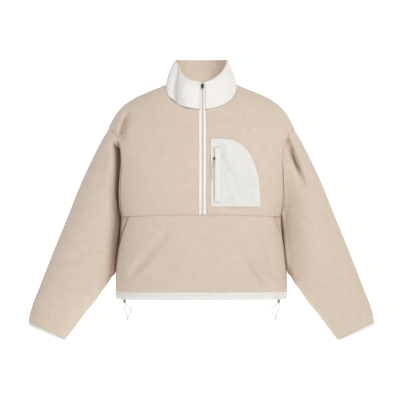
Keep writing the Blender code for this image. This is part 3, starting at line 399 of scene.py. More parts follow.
@dataclass(frozen=True)
class Armholes:
    """The dropped armholes and the shoulder seams, as edges of the body's panels."""

    body: BodyForm
    cut: Cut
    drop_power: float = 1.8
    reach: tuple[tuple[Side, Face, float, float], ...] = (
        (Side.LEFT, Face.FRONT, 28.0, 0.42), (Side.RIGHT, Face.FRONT, 25.0, 0.5),
        (Side.LEFT, Face.BACK, 27.0, 0.6), (Side.RIGHT, Face.BACK, 27.0, 0.6),
    )

    def edge(self, side: Side, face: Face) -> np.ndarray:
        """The armhole from the underarm up to the shoulder's end.

        Args:
            side: the armhole's side.
            face: the view.

        Returns:
            Places, with x outward.
        """
        reach, fullness = next(row[2:] for row in self.reach if row[0] is side and row[1] is face)
        u = np.linspace(0.0, 1.0, DENSE + 1)
        z = UNDERARM + (SHOULDER_DROP - UNDERARM) * (1.0 - (1.0 - u) ** self.drop_power)
        angle = 90.0 - reach * np.maximum(np.sin(PI * u), 0.0) ** fullness
        path = np.stack([self.body.width_at_angle(z, angle), z], -1)
        return self.body.evenly(path, face, self.cut.armhole)

    def shoulder(self, face: Face) -> np.ndarray:
        """The shoulder seam from the armhole's top to the neck."""
        z = np.linspace(SHOULDER_DROP, NECK_POINT, DENSE + 1)
        return self.body.evenly(np.stack([self.body.width(z), z], -1), face, self.cut.shoulder)

    def rows(self, side: Side, face: Face, start: float, seam: float, neck: float,
             columns: int) -> np.ndarray:
        """Rows of places of one half of an upper panel, from the underarm's level to the neckline.

        Args:
            side: the half.
            face: the view.
            start: the first place across.
            seam: the height of the lowest row at the middle.
            neck: the height of the neckline at the middle.
            columns: how many spaces each row has.

        Returns:
            Places, rows by columns by (x, z), with x outward.
        """
        edges = np.concatenate([self.edge(side, face), self.shoulder(face)[1:]])
        made = []
        for k, edge in enumerate(edges):
            bend = 1.0 + 1.4 * max(k - self.cut.armhole, 0) / self.cut.shoulder
            middle = seam + (neck - seam) * k / (len(edges) - 1)
            made.append(self.body.across(start, edge, middle, bend, face, columns))
        return np.array(made)


# ---------------------------------------------------------------- finishes
def to_linear(code: str) -> tuple[float, float, float, float]:
    """A colour of six sRGB hex digits as linear red, green, blue and an alpha of one."""
    values = [int(code[k:k + 2], 16) / 255.0 for k in (0, 2, 4)]
    return (*(v / 12.92 if v <= 0.04045 else ((v + 0.055) / 1.055) ** 2.4 for v in values), 1.0)


@dataclass(frozen=True)
class Paint:
    """A material's node tree and shader, with the nodes that the finishes are mixed from."""

    tree: bpy.types.NodeTree
    shader: bpy.types.Node

    def plug(self, item: bpy.types.Node, **links: object) -> None:
        """Fills a node's inputs.

        Args:
            item: the node.
            links: a value or another node's output for each input, with the input's name in snake case or
                as i and its number.
        """
        by_name = {}
        for k, socket in enumerate(item.inputs):
            by_name.setdefault(socket.name.lower().replace(" ", "_"), socket)
            by_name["i" + str(k)] = socket
        for name, value in links.items():
            if isinstance(value, bpy.types.NodeSocket):
                self.tree.links.new(value, by_name[name])
            else:
                by_name[name].default_value = value

    def node(self, kind: str, result: str | int, settings: dict | None = None,
             **links: object) -> bpy.types.NodeSocket:
        """Adds a shader node.

        Args:
            kind: the end of Blender's name of the node's type.
            result: the output that is wanted.
            settings: the node's own properties.
            links: what its inputs get.

        Returns:
            The wanted output.
        """
        made = self.tree.nodes.new("ShaderNode" + kind)
        for name, value in (settings or {}).items():
            setattr(made, name, value)
        self.plug(made, **links)
        return made.outputs[result]

    def place(self) -> bpy.types.NodeSocket:
        """The object's own coordinates, in metres."""
        return self.node("TexCoord", "Object")

    def cloth_map(self) -> bpy.types.NodeSocket:
        """The piece's own map, in metres along the cloth."""
        return self.node("UVMap", "UV", {"uv_map": "cloth"})

    def noise(self, size_mm: float, **links: object) -> bpy.types.NodeSocket:
        """Noise in the object, with features of a size."""
        return self.node("TexNoise", "Fac", vector=self.place(), scale=1000.0 / size_mm, **links)

    def bands(self, place: bpy.types.NodeSocket, way: str, pace_mm: float,
              **links: object) -> bpy.types.NodeSocket:
        """Soft bands in one direction, at a pace."""
        return self.node("TexWave", "Fac", {"bands_direction": way}, vector=place, scale=500.0 / pace_mm,
                         **links)

    def sum_of(self, one: bpy.types.NodeSocket, times: float,
               other: bpy.types.NodeSocket) -> bpy.types.NodeSocket:
        """One value times a number, and another one added."""
        return self.node("Math", 0, {"operation": "MULTIPLY_ADD"}, i0=one, i1=times, i2=other)

    def higher(self, one: bpy.types.NodeSocket, other: bpy.types.NodeSocket) -> bpy.types.NodeSocket:
        """The higher of two values."""
        return self.node("Math", 0, {"operation": "MAXIMUM"}, i0=one, i1=other)

    def spread(self, value: bpy.types.NodeSocket, span: tuple[float, float],
               to: tuple[float, float] = (0.0, 1.0), soft: bool = False) -> bpy.types.NodeSocket:
        """A value's span turned into another one, which also limits it.

        Args:
            value: the value.
            span: its low and its high end.
            to: what they turn into.
            soft: whether it eases in and out.

        Returns:
            The new value.
        """
        how = {"interpolation_type": "SMOOTHSTEP" if soft else "LINEAR"}
        return self.node("MapRange", 0, how, value=value, from_min=span[0], from_max=span[1], to_min=to[0],
                         to_max=to[1])

    def mixed(self, share: object, one: object, other: object, how: str = "MIX") -> bpy.types.NodeSocket:
        """Two colours, each a hex code or an output, mixed by a share of the other.

        Args:
            share: the share, a number or an output.
            one: the first colour.
            other: the other colour.
            how: Blender's name of the way they mix.

        Returns:
            The colour.
        """
        one, other = (to_linear(item) if isinstance(item, str) else item for item in (one, other))
        return self.node("Mix", 2, {"data_type": "RGBA", "blend_type": how}, i0=share, i6=one, i7=other)

    def bump(self, height: bpy.types.NodeSocket, strength: float, depth: float,
             **links: object) -> bpy.types.NodeSocket:
        """A relief from a height, so many metres deep."""
        return self.node("Bump", "Normal", strength=strength, distance=depth, height=height, **links)

    def banded(self, colour: bpy.types.NodeSocket, attribute: str, band: str,
               span: tuple[float, float]) -> bpy.types.NodeSocket:
        """A colour with a band of another one where the mesh's own attribute is low."""
        away = self.node("Attribute", "Fac", {"attribute_name": attribute})
        return self.mixed(self.spread(away, span, soft=True), band, colour)


@dataclass(frozen=True)
class Finish:
    """A procedural finish: what every one of them has."""

    name: str
    slot: str

    def shade(self, paint: Paint) -> None:
        """Adds the finish's nodes to a new material."""

    def material(self) -> bpy.types.Material:
        """The finish's material, made once."""
        made = bpy.data.materials.get(self.name)
        if made is None:
            made = bpy.data.materials.new(self.name)
            made.use_nodes = True
            nodes = made.node_tree.nodes
            self.shade(Paint(made.node_tree, next(item for item in nodes if item.type == "BSDF_PRINCIPLED")))
        return made


@dataclass(frozen=True)
class PileFleece(Finish):
    """Brushed polyester pile fleece: a soft matt nap of 2 mm fibres with a pale bloom at grazing angles."""

    colour: str = "DACBBC"
    shade_colour: str = "CDBBAA"
    fibre_mm: float = 2.6      # clumps of fibres are nearer 1 mm: drawn coarser so that they show
    mottle_mm: float = 16.0
    # painted shade: a warm brown that darkens the colour in deep folds and grooves, looked for within this
    # reach
    painted_fold_shade: str = "C8AE9B"
    fold_shade_reach: float = 0.035
    opening_shadow_mm: float = 0.0    # width of a painted shadow line along the hand openings, where the pouch's edge overhangs the front
    opening_shadow_colour: str = "86705F"

    def shade(self, paint: Paint) -> None:
        """Mottled colour, painted shade in deep folds, a painted shadow line along the hand openings where
        asked, a nap in the bump and a sheen of loose fibre ends.

        Args:
            paint: the material's nodes.
        """
        fibre = paint.noise(self.fibre_mm, detail=3.0, roughness=0.7, distortion=0.6)
        mottle = paint.noise(self.mottle_mm, detail=2.0, roughness=0.6)
        spread = paint.spread(paint.sum_of(fibre, 1.1, mottle), (0.30, 1.40))
        colour = paint.mixed(spread, self.shade_colour, self.colour)
        # Painted shade: the colour is darkened towards a warm brown where folds and grooves close in, standing
        # in for the shade that falls there.
        closed = paint.node("AmbientOcclusion", "AO", {"samples": 6}, distance=self.fold_shade_reach)
        depth = paint.spread(closed, (0.10, 0.62), (1.0, 0.0))
        colour = paint.mixed(depth, colour, self.painted_fold_shade, "MULTIPLY")
        # Painted shadow: a dark line along the hand openings, standing in for the shadow under the pouch's
        # edge.
        if self.opening_shadow_mm > 0.0:
            span = (self.opening_shadow_mm / 2500.0, self.opening_shadow_mm / 800.0)
            colour = paint.banded(colour, "opening", self.opening_shadow_colour, span)
        nap = paint.bump(paint.sum_of(mottle, 0.35, fibre), 0.55, 0.0012)
        paint.plug(paint.shader, base_color=colour, normal=nap, roughness=0.95, specular_ior_level=0.12,
                   sheen_weight=0.22, sheen_roughness=0.6, sheen_tint=to_linear("F3ECE4"))


@dataclass(frozen=True)
class WovenTaffeta(Finish):
    """Plain woven nylon taffeta: close flat threads with a faint satin gloss and small ripples."""

    colour: str = "EAE8E5"
    thread_mm: float = 1.6     # real threads are 0.2 mm apart: drawn coarser so that they show
    ripple_mm: float = 14.0
    edge_colour: str = "EAE3DA"
    edge_mm: float = 0.0
    edge_blur: float = 0.0006

    def shade(self, paint: Paint) -> None:
        """Threads both ways from the piece's own map, ripples, and a band of another colour at the edge.

        Args:
            paint: the material's nodes.
        """
        threads = [paint.bands(paint.cloth_map(), way, self.thread_mm, distortion=0.6, detail=1.0,
                               detail_scale=3.0) for way in "XY"]
        ripple = paint.noise(self.ripple_mm, detail=2.5, roughness=0.55, distortion=0.4)
        fine = paint.bump(paint.higher(*threads), 0.10, 0.0004)
        relief = paint.bump(ripple, 0.30, 0.0030, normal=fine)
        tone = paint.spread(ripple, (0.3, 0.7), (0.94, 1.0))
        colour = paint.mixed(1.0, self.colour, tone, "MULTIPLY")
        if self.edge_mm > 0.0:
            span = (self.edge_mm / 1000.0 - self.edge_blur, self.edge_mm / 1000.0 + self.edge_blur)
            colour = paint.banded(colour, "edge", self.edge_colour, span)
        paint.plug(paint.shader, base_color=colour, normal=relief, roughness=0.52, specular_ior_level=0.35,
                   sheen_weight=0.08, sheen_roughness=0.4)


@dataclass(frozen=True)
class HerringboneTape(Finish):
    """Woven polyester zip tape: fine slanted ribs, matt."""

    colour: str = "F8F3EC"
    rib_mm: float = 1.2        # real ribs are 0.5 mm apart: drawn coarser so that they show

    def shade(self, paint: Paint) -> None:
        """Slanted ribs from the piece's own map.

        Args:
            paint: the material's nodes.
        """
        ribs = paint.bands(paint.cloth_map(), "DIAGONAL", self.rib_mm, distortion=0.3, detail=1.0)
        tone = paint.spread(ribs, (0.0, 1.0), (0.92, 1.0))
        paint.plug(paint.shader, base_color=paint.mixed(1.0, self.colour, tone, "MULTIPLY"),
                   normal=paint.bump(ribs, 0.35, 0.0004), roughness=0.8, sheen_weight=0.1)


@dataclass(frozen=True)
class SmoothSolid(Finish):
    """A moulded or plated surface with a faint unevenness."""

    colour: str = "CFC8BF"
    roughness: float = 0.4
    metallic: float = 0.0
    grain_mm: float = 1.2

    def shade(self, paint: Paint) -> None:
        """One colour with a fine grain in its tone, its gloss and its bump.

        Args:
            paint: the material's nodes.
        """
        grain = paint.noise(self.grain_mm, detail=3.0, roughness=0.6)
        tone = paint.spread(grain, (0.3, 0.7), (0.90, 1.0))
        gloss = paint.spread(grain, (0.3, 0.7), (max(self.roughness - 0.06, 0.05), self.roughness + 0.06))
        paint.plug(paint.shader, base_color=paint.mixed(1.0, self.colour, tone, "MULTIPLY"), roughness=gloss,
                   normal=paint.bump(grain, 0.08, 0.0003), metallic=self.metallic)


@dataclass(frozen=True)
class BraidedCord(Finish):
    """Braided polyester cord: crossed strands that show as a fine diamond relief."""

    colour: str = "BCBAB7"
    strand_mm: float = 1.3
    slant: float = 0.6

    def shade(self, paint: Paint) -> None:
        """A diamond relief from two slanted waves.

        Args:
            paint: the material's nodes.
        """
        waves = []
        for turn in (self.slant, -self.slant):
            turned = paint.node("Mapping", 0, vector=paint.place(), rotation=(0.0, turn, 0.0))
            waves.append(paint.bands(turned, "Z", self.strand_mm, distortion=0.4))
        braid = paint.higher(*waves)
        tone = paint.spread(braid, (0.0, 1.0), (0.78, 1.0))
        paint.plug(paint.shader, base_color=paint.mixed(1.0, self.colour, tone, "MULTIPLY"),
                   normal=paint.bump(braid, 0.5, 0.0004), roughness=0.75)


@dataclass(frozen=True)
class WhitePaper(Finish):
    """The backdrop's matt paper, which glows a little so that it comes out white."""

    def shade(self, paint: Paint) -> None:
        """One plain colour."""
        paint.plug(paint.shader, base_color=to_linear("F4F4F4"), roughness=0.9, specular_ior_level=0.0,
                   emission_color=to_linear("FFFFFF"), emission_strength=0.75)


FLEECE = PileFleece("brushed pile fleece", "pile_fleece")
# The pouch's fleece, with a painted shadow line along its hand openings.
SHADED_POUCH_FLEECE = PileFleece("brushed pile fleece with turned openings", "pile_fleece", opening_shadow_mm=2.2)
# A lighter copy of the fleece: painted light that brightens the lining inside the collar, which lies in shade.
LIGHTENED_COLLAR_LINING = PileFleece("brushed pile fleece of the collar's lining", "pile_fleece", colour="F8EADC",
                           shade_colour="EEDDCD")
TAFFETA = WovenTaffeta("woven nylon taffeta", "woven_taffeta")
POCKET_TAFFETA = WovenTaffeta("woven nylon taffeta with a bound edge", "woven_taffeta", colour="E4E3E1",
                              edge_mm=4.2)
HEM_TAFFETA = WovenTaffeta("woven nylon taffeta with a stitched edge", "woven_taffeta", colour="E8E6E3",
                           edge_colour="F4EFE8", edge_mm=2.6)
TAPE = HerringboneTape("woven polyester zip tape", "zip_tape")
COIL = SmoothSolid("moulded nylon coil", "zip_coil", colour="E6E0D8", roughness=0.45)
GUNMETAL = SmoothSolid("gunmetal plated zinc", "dark_metal", colour="3A3733", roughness=0.38, metallic=0.85)
EYELET = SmoothSolid("gunmetal plated eyelet", "dark_eyelet", colour="85817C", roughness=0.42, metallic=0.6)
CORD = BraidedCord("braided polyester cord", "cord")
CORD_TIP = SmoothSolid("moulded cord end", "cord_end", colour="DCDBD8", roughness=0.5)
THREAD = SmoothSolid("spun polyester thread", "woven_taffeta", colour="EFE8DF", roughness=0.7)
FLEECE_THREAD = SmoothSolid("spun polyester thread, beige", "pile_fleece", colour="D2C1B0", roughness=0.8)
PAPER = WhitePaper("white paper backdrop", "backdrop")


# ---------------------------------------------------------------- making pieces
def add_object(name: str, data: bpy.types.ID) -> bpy.types.Object:
    """An object of a mesh, curve, lamp or camera in the scene's collection.

    Args:
        name: its name.
        data: its data.

    Returns:
        The object.
    """
    item = bpy.data.objects.new(name, data)
    bpy.context.scene.collection.objects.link(item)
    return item


def settle(item: bpy.types.Object, finish: Finish, *solids: str, flat: tuple[float, float] | None = None,
           area: float | None = None) -> None:
    """Args:
        item: the object.
        finish: its finish.
        solids: the solids that it stands for.
        flat: a sheet's length and width, laid flat; not used.
        area: what is cut of it, where that is less; not used.
    """
    item.data.materials.clear()
    item.data.materials.append(finish.material())
    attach(item, GARMENT)
    if solids:
        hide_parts(*solids)
    log.info("made %s, %d faces", item.name, len(item.data.polygons) if item.type == "MESH" else 0)


def mesh_of(name: str, work: bmesh.types.BMesh) -> bpy.types.Mesh:
    """A smooth mesh of a bmesh, which is freed.

    Args:
        name: its name.
        work: the bmesh.

    Returns:
        The mesh.
    """
    mesh = bpy.data.meshes.new(name)
    work.to_mesh(mesh)
    work.free()
    mesh.shade_smooth()
    return mesh


def store(mesh: bpy.types.Mesh, name: str, values: np.ndarray) -> None:
    """Stores a value for each of a mesh's points."""
    mesh.attributes.new(name, "FLOAT", "POINT").data.foreach_set("value", values)


def inward_of(outer: np.ndarray, closed: bool) -> np.ndarray:
    """Directions towards the middle of each row of a tube, square to its surface.

    Args:
        outer: points, rows by columns by three.
        closed: whether each row's last point is its first.

    Returns:
        A direction for each point.
    """
    ring = outer[:, :-1] if closed else outer
    if closed:
        round_it = np.roll(ring, -1, axis=1) - np.roll(ring, 1, axis=1)
        round_it = np.concatenate([round_it, round_it[:, :1]], axis=1)
    else:
        round_it = np.gradient(outer, axis=1)
    ways = unit(np.cross(round_it, np.gradient(outer, axis=0)))
    wrong = np.sum(ways * (ring.mean(axis=1, keepdims=True) - outer), axis=-1, keepdims=True) < 0.0
    return np.where(wrong, -ways, ways)


@dataclass
class ClothWall:
    """A wall of cloth through a grid of outer points, with rounded rims."""

    name: str
    outer: np.ndarray
    inward: np.ndarray
    thickness: float
    closed: bool = False
    rim: float = 0.0011
    rim_sink: float = 0.20

    def rim_rows(self, outer: np.ndarray, inward: np.ndarray, sink: np.ndarray,
                 axis: int) -> tuple[np.ndarray, np.ndarray, np.ndarray]:
        """Adds a row of points close to the rim at both ends of an axis.

        Args:
            outer: the outer points.
            inward: the inward directions.
            sink: the share of the thickness that each point loses.
            axis: the axis.

        Returns:
            All three with the new rows.
        """
        outer, inward, sink = (np.moveaxis(item, axis, 0) for item in (outer, inward, sink))
        near = []
        for edge, beside in ((0, 1), (-1, -2)):
            step = outer[beside] - outer[edge]
            share = np.minimum(self.rim / np.maximum(np.linalg.norm(step, axis=-1, keepdims=True), 1e-9), 0.5)
            near.append((outer[edge] + step * share)[None])
        sunk = np.full_like(sink[:1], self.rim_sink)
        made = ((outer[:1], near[0], outer[1:-1], near[1], outer[-1:]),
                (inward[:1], inward[:1], inward[1:-1], inward[-1:], inward[-1:]),
                (sunk, sink[:1], sink[1:-1], sink[-1:], sunk))
        return tuple(np.moveaxis(np.concatenate(rows), 0, axis) for rows in made)

    def build(self) -> bpy.types.Object:
        """Makes the closed wall, with its map in metres and its distance from the rim."""
        outer, inward, sink = self.outer, self.inward, np.zeros(self.outer.shape[:2])
        for axis in ((0,) if self.closed else (0, 1)):
            outer, inward, sink = self.rim_rows(outer, inward, sink, axis)
        rows, columns = outer.shape[:2]
        work = bmesh.new()
        bmesh.ops.create_grid(work, x_segments=columns - 1, y_segments=rows - 1, size=0.5)
        if self.closed:
            for vert in work.verts:
                turn = 2.0 * PI * (vert.co.x + 0.5)
                vert.co = (math.cos(turn), math.sin(turn), vert.co.y)
            bmesh.ops.remove_doubles(work, verts=work.verts, dist=1e-6)
        grown = bmesh.ops.extrude_face_region(work, geom=work.verts[:] + work.edges[:] + work.faces[:],
                                              use_keep_orig=True)
        inner = [part for part in grown["geom"] if isinstance(part, bmesh.types.BMVert)]
        if self.closed:
            bmesh.ops.scale(work, vec=(0.5, 0.5, 1.0), verts=inner)
        else:
            bmesh.ops.translate(work, vec=(0.0, 0.0, -1.0), verts=inner)
        mesh = mesh_of(self.name, work)
        place = np.zeros(len(mesh.vertices) * 3)
        mesh.vertices.foreach_get("co", place)
        x, y, z = place.reshape(-1, 3).T
        if self.closed:
            turn = np.arctan2(y, x) / (2.0 * PI) % 1.0
            column = np.rint(turn * (columns - 1)).astype(int) % (columns - 1)
            row = np.rint((z + 0.5) * (rows - 1)).astype(int)
            is_inner = np.hypot(x, y) < 0.75
        else:
            column = np.rint((x + 0.5) * (columns - 1)).astype(int)
            row = np.rint((y + 0.5) * (rows - 1)).astype(int)
            is_inner = z < -0.5
        depth = np.where(is_inner, 1.0 - sink[row, column], sink[row, column]) * self.thickness
        mesh.vertices.foreach_set("co", (outer[row, column] + inward[row, column] * depth[:, None]).ravel())
        self.add_maps(mesh, outer, row, column)
        work = bmesh.new()
        work.from_mesh(mesh)
        bmesh.ops.recalc_face_normals(work, faces=work.faces)
        work.to_mesh(mesh)
        work.free()
        mesh.shade_smooth()
        return add_object(self.name, mesh)

    def add_maps(self, mesh: bpy.types.Mesh, outer: np.ndarray, row: np.ndarray, column: np.ndarray) -> None:
        """Gives the mesh a map in metres along the cloth, and stores how far each point is from a rim.

        Args:
            mesh: the wall's mesh.
            outer: its grid of outer points.
            row: the grid's row of each of the mesh's points.
            column: and its column.
        """
        along, across = lengths(outer, 0), lengths(outer, 1)
        corners = np.zeros(len(mesh.loops), dtype=np.int64)
        mesh.loops.foreach_get("vertex_index", corners)
        at = column[corners].reshape(-1, 4)
        if self.closed:
            wraps = at.max(axis=1) - at.min(axis=1) > outer.shape[1] // 2
            at = np.where(wraps[:, None] & (at == 0), outer.shape[1] - 1, at)
        at = at.ravel()
        values = np.stack([across[row[corners], at], along[row[corners], at]], -1)
        mesh.uv_layers.new(name="cloth").uv.foreach_set("vector", values.ravel())
        near = np.minimum(along, along[-1:] - along)
        if not self.closed:
            near = np.minimum(near, np.minimum(across, across[:, -1:] - across))
        store(mesh, "edge", near[row, column])


def sew(finish: Finish, solid: str, outer: np.ndarray, inward: np.ndarray, flat: tuple[float, float],
        area: float | None = None, thickness: float = FLEECE_WALL, cloth: str = "cloth",
        **shape: object) -> None:
    """Makes one cut piece as a wall of cloth and settles it.

    Args:
        finish: its finish.
        solid: the solid that it stands for.
        outer: its grid of outer points.
        inward: the inward directions.
        flat: its length and width, laid flat.
        area: what is cut of it, where that is less.
        thickness: the wall's thickness.
        cloth: what its name ends in.
        shape: the wall's other fields.
    """
    wall = ClothWall(solid + "_" + cloth, outer, inward, thickness, **shape)
    settle(wall.build(), finish, solid, flat=flat, area=area)


def flatten(inward: np.ndarray, rows: object, columns: object, axis: int) -> None:
    """Takes one axis out of the directions along a seam, so that the wall's rim stands square to it.

    Args:
        inward: the directions, which are changed.
        rows: the seam's rows.
        columns: and its columns.
        axis: the axis.
    """
    part = inward[rows, columns].copy()
    part[..., axis] = 0.0
    inward[rows, columns] = unit(part)


def ease(grid: np.ndarray, rows: int, rounds: int) -> np.ndarray:
    """Smooths the first rows of a closed tube's grid, apart from its rim.

    Args:
        grid: points, rows by columns by three, whose last column is its first.
        rows: how many rows to smooth.
        rounds: how often.

    Returns:
        The smoothed grid.
    """
    grid = grid.copy()
    weight = np.linspace(1.0, 0.0, rows)[:, None, None]
    for _ in range(rounds):
        ring = grid[:, :-1]
        around = (np.roll(ring, 1, axis=1) + np.roll(ring, -1, axis=1)) / 2.0
        body = ring[1:rows + 1]
        mean = (ring[0:rows] + ring[2:rows + 2]) / 4.0 + around[1:rows + 1] / 2.0
        ring[1:rows + 1] = body + (mean - body) * 0.5 * weight
        grid[:, -1] = grid[:, 0]
    return grid


def joined(name: str, unit_mesh: bpy.types.Mesh, places: Sequence[Matrix],
           with_meshes: Sequence[bpy.types.Mesh] = ()) -> bpy.types.Object:
    """One mesh of a small shape at many places.

    Args:
        name: the object's name.
        unit_mesh: the small shape, which is removed afterwards.
        places: where each copy goes.
        with_meshes: meshes that are taken in as they are.

    Returns:
        The object.
    """
    work = bmesh.new()
    for mesh in with_meshes:
        work.from_mesh(mesh)
    for place in places:
        copy = unit_mesh.copy()
        copy.transform(place)
        work.from_mesh(copy)
        bpy.data.meshes.remove(copy)
    bpy.data.meshes.remove(unit_mesh)
    return add_object(name, mesh_of(name, work))


def frames(points: np.ndarray, outward: np.ndarray) -> list[Matrix]:
    """Frames on a path: X along it, Z out of the cloth.

    Args:
        points: places on the path.
        outward: the way out of the cloth at each.

    Returns:
        A matrix for each place.
    """
    along = unit(np.gradient(points, axis=0))
    out = unit(outward - along * np.sum(outward * along, axis=-1, keepdims=True))
    columns = np.stack([along, np.cross(out, along), out, points], -1)
    return [Matrix([*rows.tolist(), (0.0, 0.0, 0.0, 1.0)]) for rows in columns]


def paced(points: np.ndarray, outward: np.ndarray, pace: float) -> tuple[np.ndarray, np.ndarray]:
    """Places at an even pace along a path, with the ways out of the cloth there.

    Args:
        points: the path.
        outward: the way out of the cloth at each of its points.
        pace: from one place to the next.

    Returns:
        The places and their ways out.
    """
    run = lengths(points)
    want = np.arange(pace / 2.0, run[-1], pace)
    return sample(points, run, want), unit(sample(outward, run, want))


@dataclass
class Stitches:
    """Rows of lockstitches: short thick threads that dip into the cloth at both ends."""

    name: str
    finish: Finish = THREAD
    pace: float = 0.0030
    length: float = 0.0024
    radius: float = 0.00036
    level: float = 0.3         # how much of the length to either side is level
    dip: float = 1.6           # how many radii the ends dip
    places: list[Matrix] = field(default_factory=list)

    def row(self, points: np.ndarray, inward: np.ndarray) -> None:
        """Adds a row along a path on the cloth."""
        self.places += frames(*paced(points, -inward, self.pace))

    def build(self) -> None:
        """Makes all the rows as one mesh."""
        work = bmesh.new()
        bmesh.ops.create_cone(work, cap_ends=True, segments=6, radius1=self.radius, radius2=self.radius,
                              depth=self.length, matrix=Matrix.Rotation(PI / 2.0, 4, "Y"))
        for bend in (self.level, -self.level):
            bmesh.ops.bisect_plane(work, geom=work.verts[:] + work.edges[:] + work.faces[:],
                                   plane_co=(self.length * bend, 0.0, 0.0), plane_no=(1.0, 0.0, 0.0))
        for vert in work.verts:
            if abs(vert.co.x) > self.length * 0.4:
                vert.co.z -= self.radius * self.dip
        settle(joined(self.name, mesh_of(self.name + "_thread", work), self.places), self.finish)


@dataclass(frozen=True)
class Coil:
    """A closed zip coil: rounded loops that lock from both sides, on a narrow core."""

    solid: str
    loop: tuple[float, float, float]
    bevel: float
    lean: float
    pace: float
    rise: float = 0.0

    def build(self, core: ClothWall, line: np.ndarray, inward: np.ndarray) -> None:
        """Makes the coil and settles it.

        Args:
            core: the narrow wall between the loops.
            line: the coil's middle.
            inward: the way into the cloth along it.
        """
        work = bmesh.new()
        bmesh.ops.create_cube(work, size=1.0)
        bmesh.ops.scale(work, vec=self.loop, verts=work.verts)
        bmesh.ops.bevel(work, geom=work.edges[:], offset=self.bevel, segments=1, profile=0.5, affect="EDGES",
                        material=-1)
        middle, way = paced(line, -inward, self.pace)
        places = [place @ Matrix.Translation((0.0, self.lean if k % 2 else -self.lean, 0.0))
                  for k, place in enumerate(frames(middle + way * self.rise, way))]
        made = core.build()
        item = joined(self.solid + "_coil", mesh_of("loop", work), places, [made.data])
        bpy.data.objects.remove(made)
        settle(item, COIL, self.solid)


